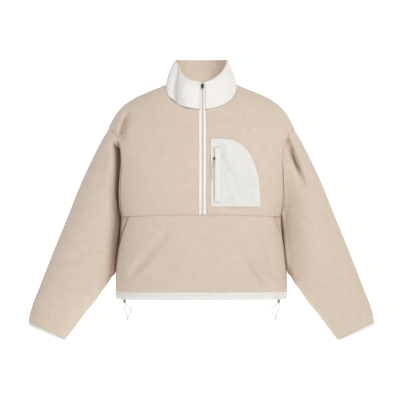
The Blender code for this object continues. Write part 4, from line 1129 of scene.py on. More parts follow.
# ---------------------------------------------------------------- body panels
@dataclass
class BodyPanels:
    """The back, the two upper fronts, the lower front and the pouch over it."""

    body: BodyForm
    cut: Cut
    armholes: Armholes
    puff: float = 0.016        # how far in from its hand openings the pouch stands off
    stitch_puff: float = 0.012
    right_shadow_narrower: float = 2.2  # how much narrower than the left one the painted shadow line at the right opening is
    gapes: tuple[float, float] = (0.75, 0.35)
    gape_reach: float = 0.0075
    tuck_reach: float = 0.0060
    seam_rows: float = 0.0030  # how far the twin rows of stitches are from the level seam
    slit_rows: tuple[float, float] = (0.0040, 0.0090)
    armhole_inset: float = 0.0035
    zip_room: float = 0.0115
    edges: dict[tuple[Side, Face], tuple[np.ndarray, np.ndarray]] = field(default_factory=dict)

    def build(self) -> None:
        """Makes every panel of the body, and keeps the armhole edges for the sleeves."""
        self.back_panel()
        for side in Side:
            self.front_upper(side)
        self.front_lower()
        self.pouch()

    def back_panel(self) -> None:
        """The back, from the hem to the neckline."""
        rows = []
        for k in range(self.cut.lower):
            z = HEM_TOP + (UNDERARM - HEM_TOP) * k / self.cut.lower
            edge = np.array([float(self.body.width(np.array(z))), z])
            rows.append(self.body.across(0.0, edge, z, 1.0, Face.BACK, self.cut.back))
        upper = self.armholes.rows(Side.RIGHT, Face.BACK, 0.0, UNDERARM, BACK_NECK, self.cut.back)
        outer, inward = self.body.surface(mirrored(np.concatenate([np.array(rows), upper])), Face.BACK)
        shoulder = len(outer) - 1 - self.cut.shoulder
        for column in (0, -1):
            flatten(inward, slice(0, self.cut.lower + 1), column, 1)
            flatten(inward, slice(shoulder, None), column, 1)
        flatten(inward, 0, slice(None), 2)
        arm = slice(shoulder - self.cut.armhole, shoulder + 1)
        for side, column in ((Side.RIGHT, -1), (Side.LEFT, 0)):
            self.edges[(side, Face.BACK)] = (outer[arm, column], inward[arm, column])
        sew(FLEECE, "back_panel", outer, inward, (0.62, 0.56), 0.262)

    def front_upper(self, side: Side) -> None:
        """One upper front, from the level seam to the neckline, beside the zip.

        Args:
            side: its side.
        """
        start = TAPE_HALF + SEAM + side.value * ZIP_X
        places = self.armholes.rows(side, Face.FRONT, start, POUCH_TOP, FRONT_NECK, self.cut.front)
        outer, inward = self.body.surface(places * np.array([side.value, 1.0]), Face.FRONT)
        flatten(inward, slice(None), 0, 0)
        flatten(inward, slice(len(outer) - 1 - self.cut.shoulder, None), -1, 1)
        flatten(inward, 0, slice(None), 2)
        arm = slice(0, self.cut.armhole + 1)
        self.edges[(side, Face.FRONT)] = (outer[arm, -1], inward[arm, -1])
        sew(FLEECE, "front_upper_" + side.word, outer, inward, (0.29, 0.35), 0.071)

    def seam_height(self, x: np.ndarray) -> np.ndarray:
        """The height of the seam across the front."""
        share = (x / float(self.body.width(np.array(UNDERARM)))) ** 2
        return POUCH_TOP + (UNDERARM - POUCH_TOP) * share

    def lower_places(self, levels: np.ndarray, angles: np.ndarray) -> np.ndarray:
        """Rows over the lower front, their top row on the level seam.

        Args:
            levels: their heights at the middle.
            angles: the angles round the body at which they end.

        Returns:
            Places, rows by columns by (x, z).
        """
        rows = []
        for z, angle in zip(levels, angles):
            fall = float(self.seam_height(self.body.width_at_angle(np.array(z), angle))) - POUCH_TOP
            height = z + fall * max((z - SLIT_BOTTOM) / (levels[-1] - SLIT_BOTTOM), 0.0)
            edge = np.array([float(self.body.width_at_angle(np.array(height), angle)), height])
            rows.append(self.body.across(0.0, edge, z, 1.0, Face.FRONT, self.cut.pouch))
        return mirrored(np.array(rows))

    def levels(self) -> np.ndarray:
        """Heights of the rows over the lower front."""
        low = np.linspace(HEM_TOP, SLIT_BOTTOM, LEVEL_ROWS)
        return np.concatenate([low[:-1], np.linspace(SLIT_BOTTOM, POUCH_TOP - SEAM, LEVEL_ROWS)])

    def slit(self, levels: np.ndarray) -> tuple[np.ndarray, np.ndarray]:
        """Where the pouch ends: its hand openings are straight in the front view.

        Args:
            levels: heights.

        Returns:
            The share of the way up the openings, and the angles round the body, in degrees.
        """
        share = np.clip((levels - SLIT_BOTTOM) / (POUCH_TOP - SLIT_BOTTOM), 0.0, 1.0)
        low = float(self.body.width(SLIT_BOTTOM))
        high = float(self.body.width_at_angle(np.array(POUCH_TOP), SLIT_TOP_ANGLE))
        across = np.minimum((low + (high - low) * share) / self.body.width(levels), 1.0)
        return share, np.where(share > 0.0, np.degrees(np.arcsin(across ** (SQUARENESS / 2.0))), 90.0)

    def pouch(self) -> None:
        """The pouch over the lower front, with a slanted hand opening on each side."""
        levels = self.levels()
        share, angles = self.slit(levels)
        outer, inward = self.body.surface(self.lower_places(levels, angles), Face.FRONT)
        lift = SLIT_LIFT * np.sin(PI * share)[:, None] * (levels > SLIT_BOTTOM)[:, None]
        run = lengths(outer, 1)
        near = np.minimum(run, run[:, -1:] - run)
        outer = outer - inward * (lift * np.exp(-(near / self.puff) ** 2))[..., None]
        for column in (0, -1):
            flatten(inward, slice(0, LEVEL_ROWS), column, 1)
        for row in (0, -1):
            flatten(inward, row, slice(None), 2)
        item = ClothWall("kangaroo_pouch_cloth", outer, inward, FLEECE_WALL).build()
        self.mark_openings(item.data)
        settle(item, SHADED_POUCH_FLEECE, "kangaroo_pouch", flat=(0.50, 0.20), area=0.096)

    def mark_openings(self, mesh: bpy.types.Mesh) -> None:
        """Stores how far each point of the pouch is from its hand openings, for the painted shadow line along
        them, which is wider on the left.

        Args:
            mesh: the pouch's mesh.
        """
        places = np.empty(len(mesh.vertices) * 3, dtype=np.float32)
        mesh.vertices.foreach_get("co", places)
        x, _, z = places.reshape(-1, 3).T
        share = np.clip((z - SLIT_BOTTOM) / (POUCH_TOP - SLIT_BOTTOM), 0.0, 1.0)
        level = np.clip(z - (self.seam_height(x) - POUCH_TOP) * share, SLIT_BOTTOM, POUCH_TOP)
        edge = self.body.width_at_angle(z, self.slit(level)[1])
        below = np.maximum(SLIT_BOTTOM + 0.004 - z, 0.0)
        away = np.abs(edge - np.abs(x)) * np.where(x < 0.0, 1.0, self.right_shadow_narrower) + below
        store(mesh, "opening", away.astype(np.float32))

    def topstitch(self, stitches: Stitches) -> None:
        """Twin rows along the level seam and the hand openings, and a row beside each armhole.

        Args:
            stitches: what takes the rows.
        """
        x = np.linspace(-0.196, 0.196, 200)
        for up in (-self.seam_rows, self.seam_rows):
            points, inward = self.body.surface(np.stack([x, self.seam_height(x) + up], -1), Face.FRONT)
            beside_zip = (x < ZIP_X - self.zip_room, x > ZIP_X + self.zip_room)
            halves = beside_zip if up > 0.0 else (slice(None),)
            for part in halves:
                stitches.row(points[part], inward[part])
        levels = np.linspace(SLIT_BOTTOM + 0.002, POUCH_TOP - 0.004, 60)
        share, angles = self.slit(levels)
        edge = self.body.width_at_angle(levels, angles)
        for side in Side:
            for inset in self.slit_rows:
                places = np.stack([side.value * (edge - inset), levels], -1)
                points, inward = self.body.surface(places, Face.FRONT)
                lift = SLIT_LIFT * np.sin(PI * share) * math.exp(-(inset / self.stitch_puff) ** 2)
                stitches.row(points - inward * lift[:, None], inward)
            for face in Face:
                places = self.armholes.edge(side, face) - np.array([self.armhole_inset, 0.0])
                stitches.row(*self.body.surface(places * np.array([side.value, 1.0]), face))

    def front_lower(self) -> None:
        """The lower front that lies under the pouch and shows in its hand openings."""
        levels = self.levels()
        places = self.lower_places(levels, np.full(len(levels), 90.0))
        outer, inward = self.body.surface(places, Face.FRONT, folded=False)
        for column in (0, -1):
            flatten(inward, slice(None), column, 1)
        for row in (0, -1):
            flatten(inward, row, slice(None), 2)
        x = places[..., 0]
        room = FOLD_ROOM * (1.0 - (x / np.abs(x[:, :1])) ** 4)
        beyond = np.abs(x) - self.body.width_at_angle(levels, self.slit(levels)[1])[:, None]
        fall = np.exp(-(np.maximum(beyond, 0.0) / self.gape_reach) ** 2)
        edge_room = np.where(x < 0.0, *self.gapes) * fall
        covered = edge_room + (1.0 - edge_room) * smooth_step(-beyond, 0.0, self.tuck_reach)
        sink = (FLEECE_WALL + LAYER + room) * np.where(beyond > 0.0, edge_room, covered) + 0.0003
        sew(FLEECE, "front_lower", outer + inward * sink[..., None], inward, (0.50, 0.20), 0.096)


# ---------------------------------------------------------------- sleeves
SLEEVE_OUTER = mm(
    (232.5, -107.5), (249, -135), (272, -180), (300, -240), (336, -330), (372.5, -420), (407.5, -510),
    (424, -553), (430, -578), (431.8, -597.5),
)
SLEEVE_INNER = mm(
    (201.5, -327), (206.8, -345), (210.5, -380), (213.2, -415), (216.8, -445), (221.5, -468),
    (232.5, -492), (245.8, -510), (265.8, -540), (290.8, -570), (313.3, -600), (342.3, -637.5),
)
# share of the length, half the thickness, and how far back the middle hangs on the left and on the right
SLEEVE_GIRTHS = (
    (0.0, 0.062, 0.004, 0.0), (0.06, 0.068, 0.008, -0.001), (0.12, 0.071, 0.01, -0.002),
    (0.25, 0.07, 0.01, -0.004), (0.5, 0.058, 0.006, -0.008), (0.75, 0.046, -0.002, -0.013),
    (0.9, 0.037, -0.008, -0.016), (1.0, 0.03, -0.011, -0.018),
)
# share of the length, and how much of the binding's swell is there
BINDING_ROWS = ((0.9828, 0.0), (0.9870, 0.9), (0.9915, 1.0), (0.9960, 0.8), (1.0, 0.0))
# waves round the cuff, their place and their share of the puckers
BINDING_PUCKERS = ((31.0, 0.0, 0.5), (47.0, 1.3, 0.35), (73.0, 0.4, 0.3))


@dataclass
class Sleeve:
    """One sleeve, sewn to the armhole edges of the front and back panels, and the binding of its cuff."""

    side: Side
    body: BodyForm
    panels: BodyPanels
    squareness: float = 2.2
    fade: float = 0.14         # share of the length over which the armhole's shape goes over into a ring
    stand_off: float = 0.0008
    clear: float = 0.0006      # how far the sleeve stays off the body
    cling: float = 0.0120      # what hangs nearer than this lies against the body
    lap: float = 0.0035
    drop: float = 0.0450       # how far behind the front the sleeve meets the body
    deepest: float = 0.0
    floor: float = 0.0115      # width of the groove's bottom, and of the slope up from it
    slope: float = 0.0190
    tuck: float = 0.6
    level: float = 0.12        # how much of its own depth the groove's bottom keeps
    # heights over which it hangs by the body, lies against it, and over which (below zero) the groove runs
    hang_from: tuple[float, float] = (-0.4880, -0.4600)
    hang_to: tuple[float, float] = (-0.3000, -0.2600)
    beside: tuple[float, float] = (UNDERARM, -0.2950)
    groove_from: tuple[float, float] = (0.1340, 0.1620)
    groove_to: tuple[float, float] = (0.4450, 0.4900)
    near: float = 0.0020
    lower_half: tuple[float, float] = (0.30, 0.65)
    eased: tuple[int, int] = (22, 5)
    first_ring: float = 0.006
    last_ring: float = 0.982
    rings: int = 130
    ring_pace: float = 1.35

    @property
    def turn(self) -> np.ndarray:
        """The angles round a ring, from the outer edge over the front and back to it."""
        count = self.panels.cut.armhole
        return PI * np.arange(2 * count + 1) / count

    def path(self, edge: np.ndarray, share: np.ndarray) -> np.ndarray:
        """Places on one of the sleeve's edges after shares of its length.

        Args:
            edge: the edge, as (x, z).
            share: the shares.

        Returns:
            A point for each.
        """
        run = lengths(edge)
        x, z = (Profile(run, column)(share * run[-1]) for column in edge.T)
        return np.stack([x, np.zeros_like(x), z], -1)

    def plain(self, share: np.ndarray) -> np.ndarray:
        """Plain rings after shares of the length.

        Args:
            share: shares of the length.

        Returns:
            Points, rings by places by three.
        """
        outer, inner = self.path(SLEEVE_OUTER, share), self.path(SLEEVE_INNER, share)
        table = np.array(SLEEVE_GIRTHS).T
        half_depth = Profile(table[0], table[1])(share)
        back = Profile(table[0], table[2] if self.side is Side.LEFT else table[3])(share)
        across, deep = (np.sign(wave) * np.abs(wave) ** (2.0 / self.squareness)
                        for wave in (np.cos(self.turn), np.sin(self.turn)))
        ring = (outer + inner)[:, None] / 2.0 + (outer - inner)[:, None] / 2.0 * across[None, :, None]
        ring[..., 1] = back[:, None] - half_depth[:, None] * deep[None]
        ring[..., 0] *= self.side.value
        return ring

    def beside_body(self, rings: np.ndarray, low: np.ndarray) -> np.ndarray:
        """Rings whose lower half hangs close beside the body, clear of it.

        Args:
            rings: the sleeve's rings.
            low: how much each place of a ring belongs to its lower half.

        Returns:
            The rings moved.
        """
        x, y, z = rings[..., 0], rings[..., 1], rings[..., 2]
        face_depth = np.where(y < 0.0, self.body.front(z), self.body.back(z))
        side_x = self.body.width(z) * rounded(np.minimum(np.abs(y) / face_depth, 1.0))
        gap = self.side.value * x - side_x - self.clear
        near = low * smooth_step(z, *self.hang_from) * (1.0 - smooth_step(z, *self.hang_to))
        closer = gap * (1.0 - near * (1.0 - smooth_step(gap, self.near, self.cling)))
        x = np.where(gap > 0.0, self.side.value * (side_x + self.clear + closer), x)
        limit = (side_x + self.clear * low) * low * (1.0 - smooth_step(z, *self.beside))
        pushed = np.maximum(self.side.value * x, limit) * self.side.value
        rings[..., 0] = np.where(z > HEM_BOTTOM, pushed, x)
        return rings

    def laid_back(self, rings: np.ndarray, ahead: np.ndarray) -> np.ndarray:
        """Rings whose front slopes back to the body's edge, deep on the left and nearly level on the right.

        Args:
            rings: the sleeve's rings.
            ahead: which places of a ring are on its front half.

        Returns:
            The rings moved.
        """
        across, y, z = self.side.value * rings[..., 0], rings[..., 1], rings[..., 2]
        seam = self.panels.edges[(self.side, Face.FRONT)][0]
        width = self.body.width(z)
        sewn = np.interp(z, seam[:, 2], np.abs(seam[:, 0]))
        edge = np.minimum(np.where(z > UNDERARM, sewn, width), width - self.lap)
        contact = np.minimum(self.drop - self.body.front(z) * rounded(edge / width), self.deepest)
        rise = np.sin(0.5 * PI * np.clip((across - edge - self.floor) / self.slope, 0.0, 1.0))
        there = smooth_step(-z, *self.groove_from) * (1.0 - smooth_step(-z, *self.groove_to))
        share = 1.0 - there * (1.0 - np.maximum(rise, self.level))
        pull = there * (1.0 - rise) * self.tuck * (y < contact) * ahead
        rings[..., 0] -= self.side.value * np.maximum(across - edge, 0.0) * pull
        rings[..., 1] = np.where(ahead & (y < contact), contact + (y - contact) * share, y)
        return rings

    def folded(self, rings: np.ndarray, low: np.ndarray) -> np.ndarray:
        """Rings with the sleeve's folds, laid back and beside the body.

        Args:
            rings: the sleeve's rings.
            low: how much each place of a ring belongs to its lower half.

        Returns:
            The rings moved.
        """
        swing = np.abs(np.sin(self.turn)) ** (2.0 / self.squareness)
        ahead = np.arange(len(self.turn)) < self.panels.cut.armhole
        front_fold, back_fold = (fold_depth(SLEEVE_FOLDS, face, *rings[..., ::2].transpose(2, 0, 1))
                                 for face in Face)
        rings[..., 1] += np.where(ahead, front_fold, -back_fold) * swing
        return self.beside_body(self.laid_back(rings, ahead), low)

    def grid(self) -> tuple[np.ndarray, np.ndarray]:
        """Outer points and inward directions of the sleeve."""
        front, front_in = self.panels.edges[(self.side, Face.FRONT)]
        back, back_in = self.panels.edges[(self.side, Face.BACK)]
        ring = np.concatenate([front[::-1], back[1:]])
        ways = np.concatenate([front_in[::-1], back_in[1:]])
        ring[-1], ways[-1] = ring[0], ways[0]
        steps = np.linspace(0.0, 1.0, self.rings) ** self.ring_pace
        share = self.first_ring + (self.last_ring - self.first_ring) * steps
        fading = (np.maximum(1.0 - share / self.fade, 0.0) ** 2)[:, None, None]
        rings = self.plain(share) + (ring[None] - self.plain(np.array([0.0]))) * fading
        low = smooth_step(0.5 - 0.5 * np.cos(self.turn), *self.lower_half)
        rings = self.beside_body(rings, low)
        along = np.roll(ring[:-1], -1, axis=0) - np.roll(ring[:-1], 1, axis=0)
        away = unit(np.cross(np.concatenate([along, along[:1]]), ways))
        wrong = np.sum(away * (ring[1:].mean(axis=0) - ring), axis=-1, keepdims=True) < 0.0
        away = np.where(wrong, -away, away)
        under = low[:, None]
        onward = unit(rings[0] - ring)
        first = ring + unit(onward + (away - onward) * under) * SEAM * 1.5
        stood = first + (onward * 0.4 + (-ways - onward * 0.4) * under) * self.stand_off
        between = stood + (rings[0] - stood) * 0.45
        outer = np.concatenate([first[None], stood[None], between[None], rings])
        outer[:, -1] = outer[:, 0]
        outer = ease(outer, *self.eased)
        outer[2:] = self.folded(outer[2:], low)
        inward = inward_of(outer, closed=True)
        inward[0] = unit(ways + (away - ways) * under)
        inward[1] = unit(inward[0] + unit(ways + (away - 2.0 * ways) * under))
        inward[:, -1] = inward[:, 0]
        return outer, inward

    def build(self) -> None:
        """Makes the sleeve and its binding."""
        sew(FLEECE, "sleeve_" + self.side.word, *self.grid(), (0.50, 0.52), 0.185, closed=True)
        self.binding()

    def binding(self) -> None:
        """The woven binding of the cuff, gathered a little by its seam."""
        share, swell = np.array(BINDING_ROWS).T
        outer = self.plain(share)
        inward = inward_of(outer, closed=True)
        turn = np.linspace(0.0, 2.0 * PI, outer.shape[1])
        pucker = sum(size * np.sin(turn * waves + phase) for waves, phase, size in BINDING_PUCKERS)
        outer = outer - inward * ((0.0007 + 0.0003 * pucker[None]) * swell[:, None])[..., None]
        sew(TAFFETA, "cuff_binding_" + self.side.word, outer, inward, (0.25, 0.0102), closed=True)


# ---------------------------------------------------------------- collar
@dataclass
class Collar:
    """The stand collar: its woven outside and its fleece lining."""

    body: BodyForm
    cut: Cut
    half_width: float = 0.0665
    top: float = 0.0660
    dip: float = 0.0585
    dip_power: float = 1.25
    ahead: float = 0.0700
    behind: float = 0.0600
    bulge: float = 0.0035
    base_bend: float = 2.4
    lining_rise: float = 0.0020
    rows: int = 30
    # place at the top and at the base in degrees from the zip, reach in degrees, depth
    dents: tuple[tuple[float, float, float, float], ...] = (
        (-68.0, -51.0, 9.0, 0.0175), (-31.0, -24.0, 15.0, -0.0135), (-10.0, -9.0, 6.0, 0.0020),
        (40.0, 34.0, 9.0, 0.0015), (118.0, 108.0, 12.0, 0.0030), (-140.0, -128.0, 12.0, 0.0025),
        (-17.0, -31.0, 3.0, 0.0010), (-34.0, -33.0, 3.0, 0.0008), (70.0, 62.0, 6.0, 0.0008),
        (160.0, 150.0, 8.0, 0.0012), (-165.0, -150.0, 8.0, 0.0012), (20.0, 26.0, 4.0, 0.0006),
    )

    def base(self, side: Side) -> np.ndarray:
        """Points round one side of the neckline, from the zip to the middle of the back.

        Args:
            side: the side.

        Returns:
            The points.
        """
        edge = np.array([float(self.body.width(np.array(NECK_POINT))), NECK_POINT])
        shift = SEAM + side.value * ZIP_X
        front = self.body.across(TAPE_HALF + shift, edge, FRONT_NECK, self.base_bend, Face.FRONT,
                                 self.cut.front)
        back = self.body.across(0.0, edge, BACK_NECK, self.base_bend, Face.BACK, self.cut.back)[:-1][::-1]
        front = np.concatenate([[[COLLAR_TAPE_HALF + shift, front[0, 1]]], front])
        points = [self.body.point(side.value * half[:, 0], half[:, 1], face)
                  for half, face in ((front, Face.FRONT), (back, Face.BACK))]
        return np.concatenate(points) + np.array([0.0, 0.0, SEAM])

    def top_edge(self, angle: np.ndarray) -> np.ndarray:
        """The top edge at angles round from the zip.

        Args:
            angle: angles in degrees, above zero to the right.

        Returns:
            A point for each.
        """
        turn = np.radians(np.abs(angle))
        forward = np.cos(turn)
        x = np.sign(angle) * self.half_width * np.sin(turn)
        y = -forward * np.where(forward > 0.0, self.ahead, self.behind)
        return np.stack([x, y, self.top - self.dip * np.maximum(forward, 0.0) ** self.dip_power], -1)

    def columns(self) -> tuple[np.ndarray, np.ndarray, np.ndarray]:
        """Base points, top points and angles, from the zip round the back to the zip again."""
        halves = []
        for side in (Side.RIGHT, Side.LEFT):
            base = self.base(side)
            run = lengths(base)
            start = math.degrees(math.asin((COLLAR_TAPE_HALF + SEAM + side.value * ZIP_X) / self.half_width))
            angle = side.value * (start + (180.0 - start) * run / run[-1])
            halves.append((base, self.top_edge(angle), angle))
        return tuple(np.concatenate([one, other[:-1][::-1]]) for one, other in zip(*halves))

    def wall(self, base: np.ndarray, top: np.ndarray, angle: np.ndarray, share: np.ndarray) -> np.ndarray:
        """Points of the collar's outer face.

        Args:
            base: the lowest point of each column.
            top: the highest one.
            angle: its place in degrees round from the zip.
            share: shares of the way up.

        Returns:
            Points, shares by columns by three.
        """
        turn = np.radians(angle)
        outward = np.stack([np.sin(turn), -np.cos(turn), np.zeros_like(turn)], -1)
        swell = self.bulge * np.sin(PI * share)[:, None] * np.ones_like(turn)[None]
        strength = np.sin(PI * (0.08 + 0.84 * share))[:, None]
        for at_top, at_base, reach, depth in self.dents:
            away = (angle[None] - (at_base + (at_top - at_base) * share[:, None])) / reach
            swell = swell - depth * strength * np.exp(-away * away)
        return base[None] + (top - base)[None] * share[:, None, None] + outward[None] * swell[..., None]

    def build(self) -> None:
        """Makes both layers of the collar."""
        outer = self.wall(*self.columns(), np.linspace(0.0, 1.0, self.rows + 1))
        inward = inward_of(outer, closed=False)
        for column in (0, -1):
            flatten(inward, slice(None), column, 0)
        sew(TAFFETA, "collar_outer", outer, inward, (0.50, 0.10), 0.042, WOVEN_WALL, rim=0.0008)
        lining = outer + inward * (WOVEN_WALL + SEAM)
        lining[-1] += unit(lining[-1] - lining[-2]) * self.lining_rise
        sew(LIGHTENED_COLLAR_LINING, "collar_lining", lining, inward, (0.50, 0.10), 0.040, LINING_WALL)


# ---------------------------------------------------------------- half zip
@dataclass
class HalfZip:
    """The zip's two tapes and its closed coil, up the front and the collar."""

    body: BodyForm
    collar: Collar
    stitches: Stitches
    chain_half: float = 0.0016
    tape_sink: float = 0.0005
    tape_swell: float = 0.0005
    tape_columns: int = 8
    body_rows: int = 96
    taper: float = 0.0020
    pitch: float = 0.0016
    wire: float = 0.0014

    def line(self, on_body: np.ndarray, on_collar: np.ndarray) -> np.ndarray:
        """Outer points up the zip.

        Args:
            on_body: the columns' places across on the body.
            on_collar: and on the collar.

        Returns:
            Points, rows by columns by three.
        """
        heights = np.linspace(POUCH_TOP + SEAM, FRONT_NECK - self.taper, self.body_rows)
        rows = self.body.point(on_body[None], heights[:, None], Face.FRONT)
        neck = self.body.point(on_collar, np.full(len(on_collar), FRONT_NECK), Face.FRONT)
        base = neck.copy()
        base[:, 2] = FRONT_NECK + SEAM
        angle = np.zeros(len(on_collar))
        top = self.collar.top_edge(angle)
        top[:, 0] = on_collar
        up = self.collar.wall(base, top, angle, np.linspace(0.0, 1.0, 25)[1:])
        return np.concatenate([rows, neck[None], up])

    def inward(self, rows: np.ndarray) -> np.ndarray:
        """Directions into the garment along the zip, with no lean to either side.

        Args:
            rows: the zip's points.

        Returns:
            A direction for each.
        """
        along = np.gradient(rows[:, :1], axis=0)
        way = unit(np.stack([np.zeros_like(along[..., 0]), along[..., 2], -along[..., 1]], -1))
        return np.broadcast_to(way, rows.shape).copy()

    def build(self) -> None:
        """Makes both tapes and the coil."""
        swell = self.tape_swell * np.sin(PI * np.linspace(0.0, 1.0, self.tape_columns)) ** 0.5
        for side in Side:
            edge, narrow = (np.linspace(self.chain_half + SEAM, half, self.tape_columns)
                            for half in (TAPE_HALF, COLLAR_TAPE_HALF))
            if side is Side.LEFT:
                edge, narrow = -edge[::-1], -narrow[::-1]
            rows = self.line(ZIP_X + edge, ZIP_X + narrow)
            inward = self.inward(rows)
            outer = rows + inward * (self.tape_sink - swell[None, :, None])
            sew(TAPE, "zip_tape_" + side.word, outer, inward, (0.335, 0.0100), None, WOVEN_WALL, "weave",
                rim=0.0006)
            up, at = slice(2, self.body_rows), 5 if side is Side.RIGHT else 2
            self.stitches.row(outer[up, at] - inward[up, at] * 0.0001, inward[up, at])
        across = ZIP_X + np.linspace(-self.chain_half, self.chain_half, 3)
        rows = self.line(across, across)[1:-1]
        inward = self.inward(rows)
        core = ClothWall("zip_core", rows + inward * 0.0004, inward, self.wire, rim=0.0004)
        coil = Coil("zip_chain", (self.pitch * 0.62, self.chain_half * 1.1, self.wire), 0.0003,
                    self.chain_half * 0.42, self.pitch / 2.0, -0.0003)
        coil.build(core, rows[:, 1], inward[:, 1])


# ---------------------------------------------------------------- chest pocket
@dataclass
class ChestPocket:
    """The woven chest pocket, the strip that shields its zip, and the zip's coil."""

    body: BodyForm
    stitches: Stitches
    left: float = 0.0228
    flat_top: float = 0.0517
    right: float = 0.1455
    top: float = -0.1333
    bottom: float = -0.3012
    roundness: float = 2.4
    flap_left: float = 0.0332
    flap_right: float = 0.0475
    flap_top: float = -0.1560
    flap_bottom: float = -0.2880
    chain_half: float = 0.0012
    wire: float = 0.0010
    pitch: float = 0.0018
    binding: float = 0.0042
    binding_swell: float = 0.0007
    strip_swell: float = 0.0012
    second_row: float = 0.0052
    rows: int = 73
    columns: int = 57
    creases: tuple[Stroke, ...] = strokes(
        Face.FRONT,
        (48, -180, 96, -282, 6, 1.1), (60, -176, 112, -266, 7.5, -4.8), (56, -143, 70, -180, 5, -2),
        (54.5, -285, 63, -299, 3.5, 1), (95, -162, 122, -208, 8, 0.8), (64, -225, 83, -295, 5.5, -3.8),
        (106, -215, 124, -290, 6, -3),
    )

    def edge(self, z: np.ndarray) -> np.ndarray:
        """The right edge at heights: straight below, then round into the level top.

        Args:
            z: the heights.

        Returns:
            The place across at each.
        """
        share = np.clip((z - self.bottom) / (self.top - self.bottom), 0.0, 1.0)
        width = (1.0 - share ** self.roundness) ** (1.0 / self.roundness)
        return self.flat_top + (self.right - self.flat_top) * width

    def lifted(self, places: np.ndarray, lift: float) -> tuple[np.ndarray, np.ndarray]:
        """Outer points and inward directions of trim that lies over the front.

        Args:
            places: places (x, z) of the front view.
            lift: how far its outside is off the front.

        Returns:
            The points and the directions.
        """
        outer, inward = self.body.surface(places, Face.FRONT)
        creased = fold_depth(self.creases, Face.FRONT, places[..., 0], places[..., 1])
        return outer - inward * (lift - creased)[..., None], inward

    def build(self) -> None:
        """Makes the pocket, its strip, its coil and its topstitching."""
        share = np.linspace(0.0, 1.0, self.rows)
        levels = self.bottom + (self.top - self.bottom) * np.sin(PI / 2.0 * share) ** 0.9
        across = self.left + (self.edge(levels)[:, None] - self.left) * np.linspace(0.0, 1.0, self.columns)
        places = np.stack([across, np.broadcast_to(levels[:, None], across.shape)], -1)
        rim = np.concatenate([places[0], places[-1], places[:, 0], places[:, -1]])
        away = np.array([np.min(np.linalg.norm(row[:, None] - rim[None], axis=-1), axis=1) for row in places])
        inner_edge = smooth_step(away, self.binding - 0.0016, self.binding + 0.0004)
        bound = self.binding_swell * smooth_step(away, 0.0, 0.0012) * (1.0 - inner_edge)
        lift = WOVEN_WALL + TRIM_LIFT
        outer, inward = self.lifted(places, lift + bound)
        sew(POCKET_TAFFETA, "chest_pocket", outer, inward, (0.13, 0.17), 0.0185, WOVEN_WALL, rim=0.0008)
        self.topstitch(lift + 0.0002)
        self.strip(lift + WOVEN_WALL + TRIM_LIFT)

    def topstitch(self, lift: float) -> None:
        """Stitches inside the binding, all round, and a second row at the bottom.

        Args:
            lift: how far they are off the front.
        """
        inset = self.binding - 0.0012
        levels = np.linspace(self.bottom + inset, self.top - 0.0001, 90)
        arc = np.stack([self.edge(levels), levels], -1)
        turn = np.gradient(arc, axis=0)
        arc = arc + unit(np.stack([-turn[:, 1], turn[:, 0]], -1)) * inset
        arc = arc[arc[:, 0] > self.flat_top - 0.004]
        left, low, high = self.left + inset, self.bottom + inset, self.top - inset
        bottom = np.array([[left, low], [arc[0, 0], low]])
        corners = np.array([[arc[-1, 0], high], [left, high]]), np.array([[left, high], [left, low]])
        for path in (arc, *corners, bottom, bottom + np.array([0.0, self.second_row])):
            fine = sample(path, np.arange(len(path)), np.linspace(0.0, len(path) - 1.0, 120))
            self.stitches.row(*self.lifted(fine, lift))

    def strip(self, lift: float) -> None:
        """The strip that shields the pocket's zip, a little rounded, and the coil beside it.

        Args:
            lift: how far the strip is off the front.
        """
        heights = np.linspace(self.flap_bottom, self.flap_top, 60)
        places = np.stack(np.meshgrid(np.linspace(self.flap_left, self.flap_right, 13), heights), -1)
        swell = self.strip_swell * np.sin(PI * np.linspace(0.0, 1.0, 13)) ** 0.7
        outer, inward = self.lifted(places, lift + np.broadcast_to(swell, places.shape[:2]))
        sew(TAFFETA, "pocket_zip_flap", outer, inward, (0.132, 0.0145), None, WOVEN_WALL, rim=0.0007)
        self.stitches.row(*self.lifted(places[:, 9], lift + 0.0009))
        centre = self.flap_left - SEAM - self.chain_half
        across = centre + np.linspace(-self.chain_half, self.chain_half, 3)
        grid = np.stack(np.meshgrid(across, heights), -1)
        core = ClothWall("pocket_zip_core", *self.lifted(grid, lift - 0.0008), self.wire, rim=0.0003)
        path = np.stack([np.full(140, centre), np.linspace(self.flap_bottom, self.flap_top, 140)], -1)
        coil = Coil("pocket_zip_chain", (0.0006, self.chain_half * 1.3, self.wire), 0.0002,
                    self.chain_half * 0.3, self.pitch / 2.0)
        coil.build(core, *self.lifted(path, lift - 0.0004))


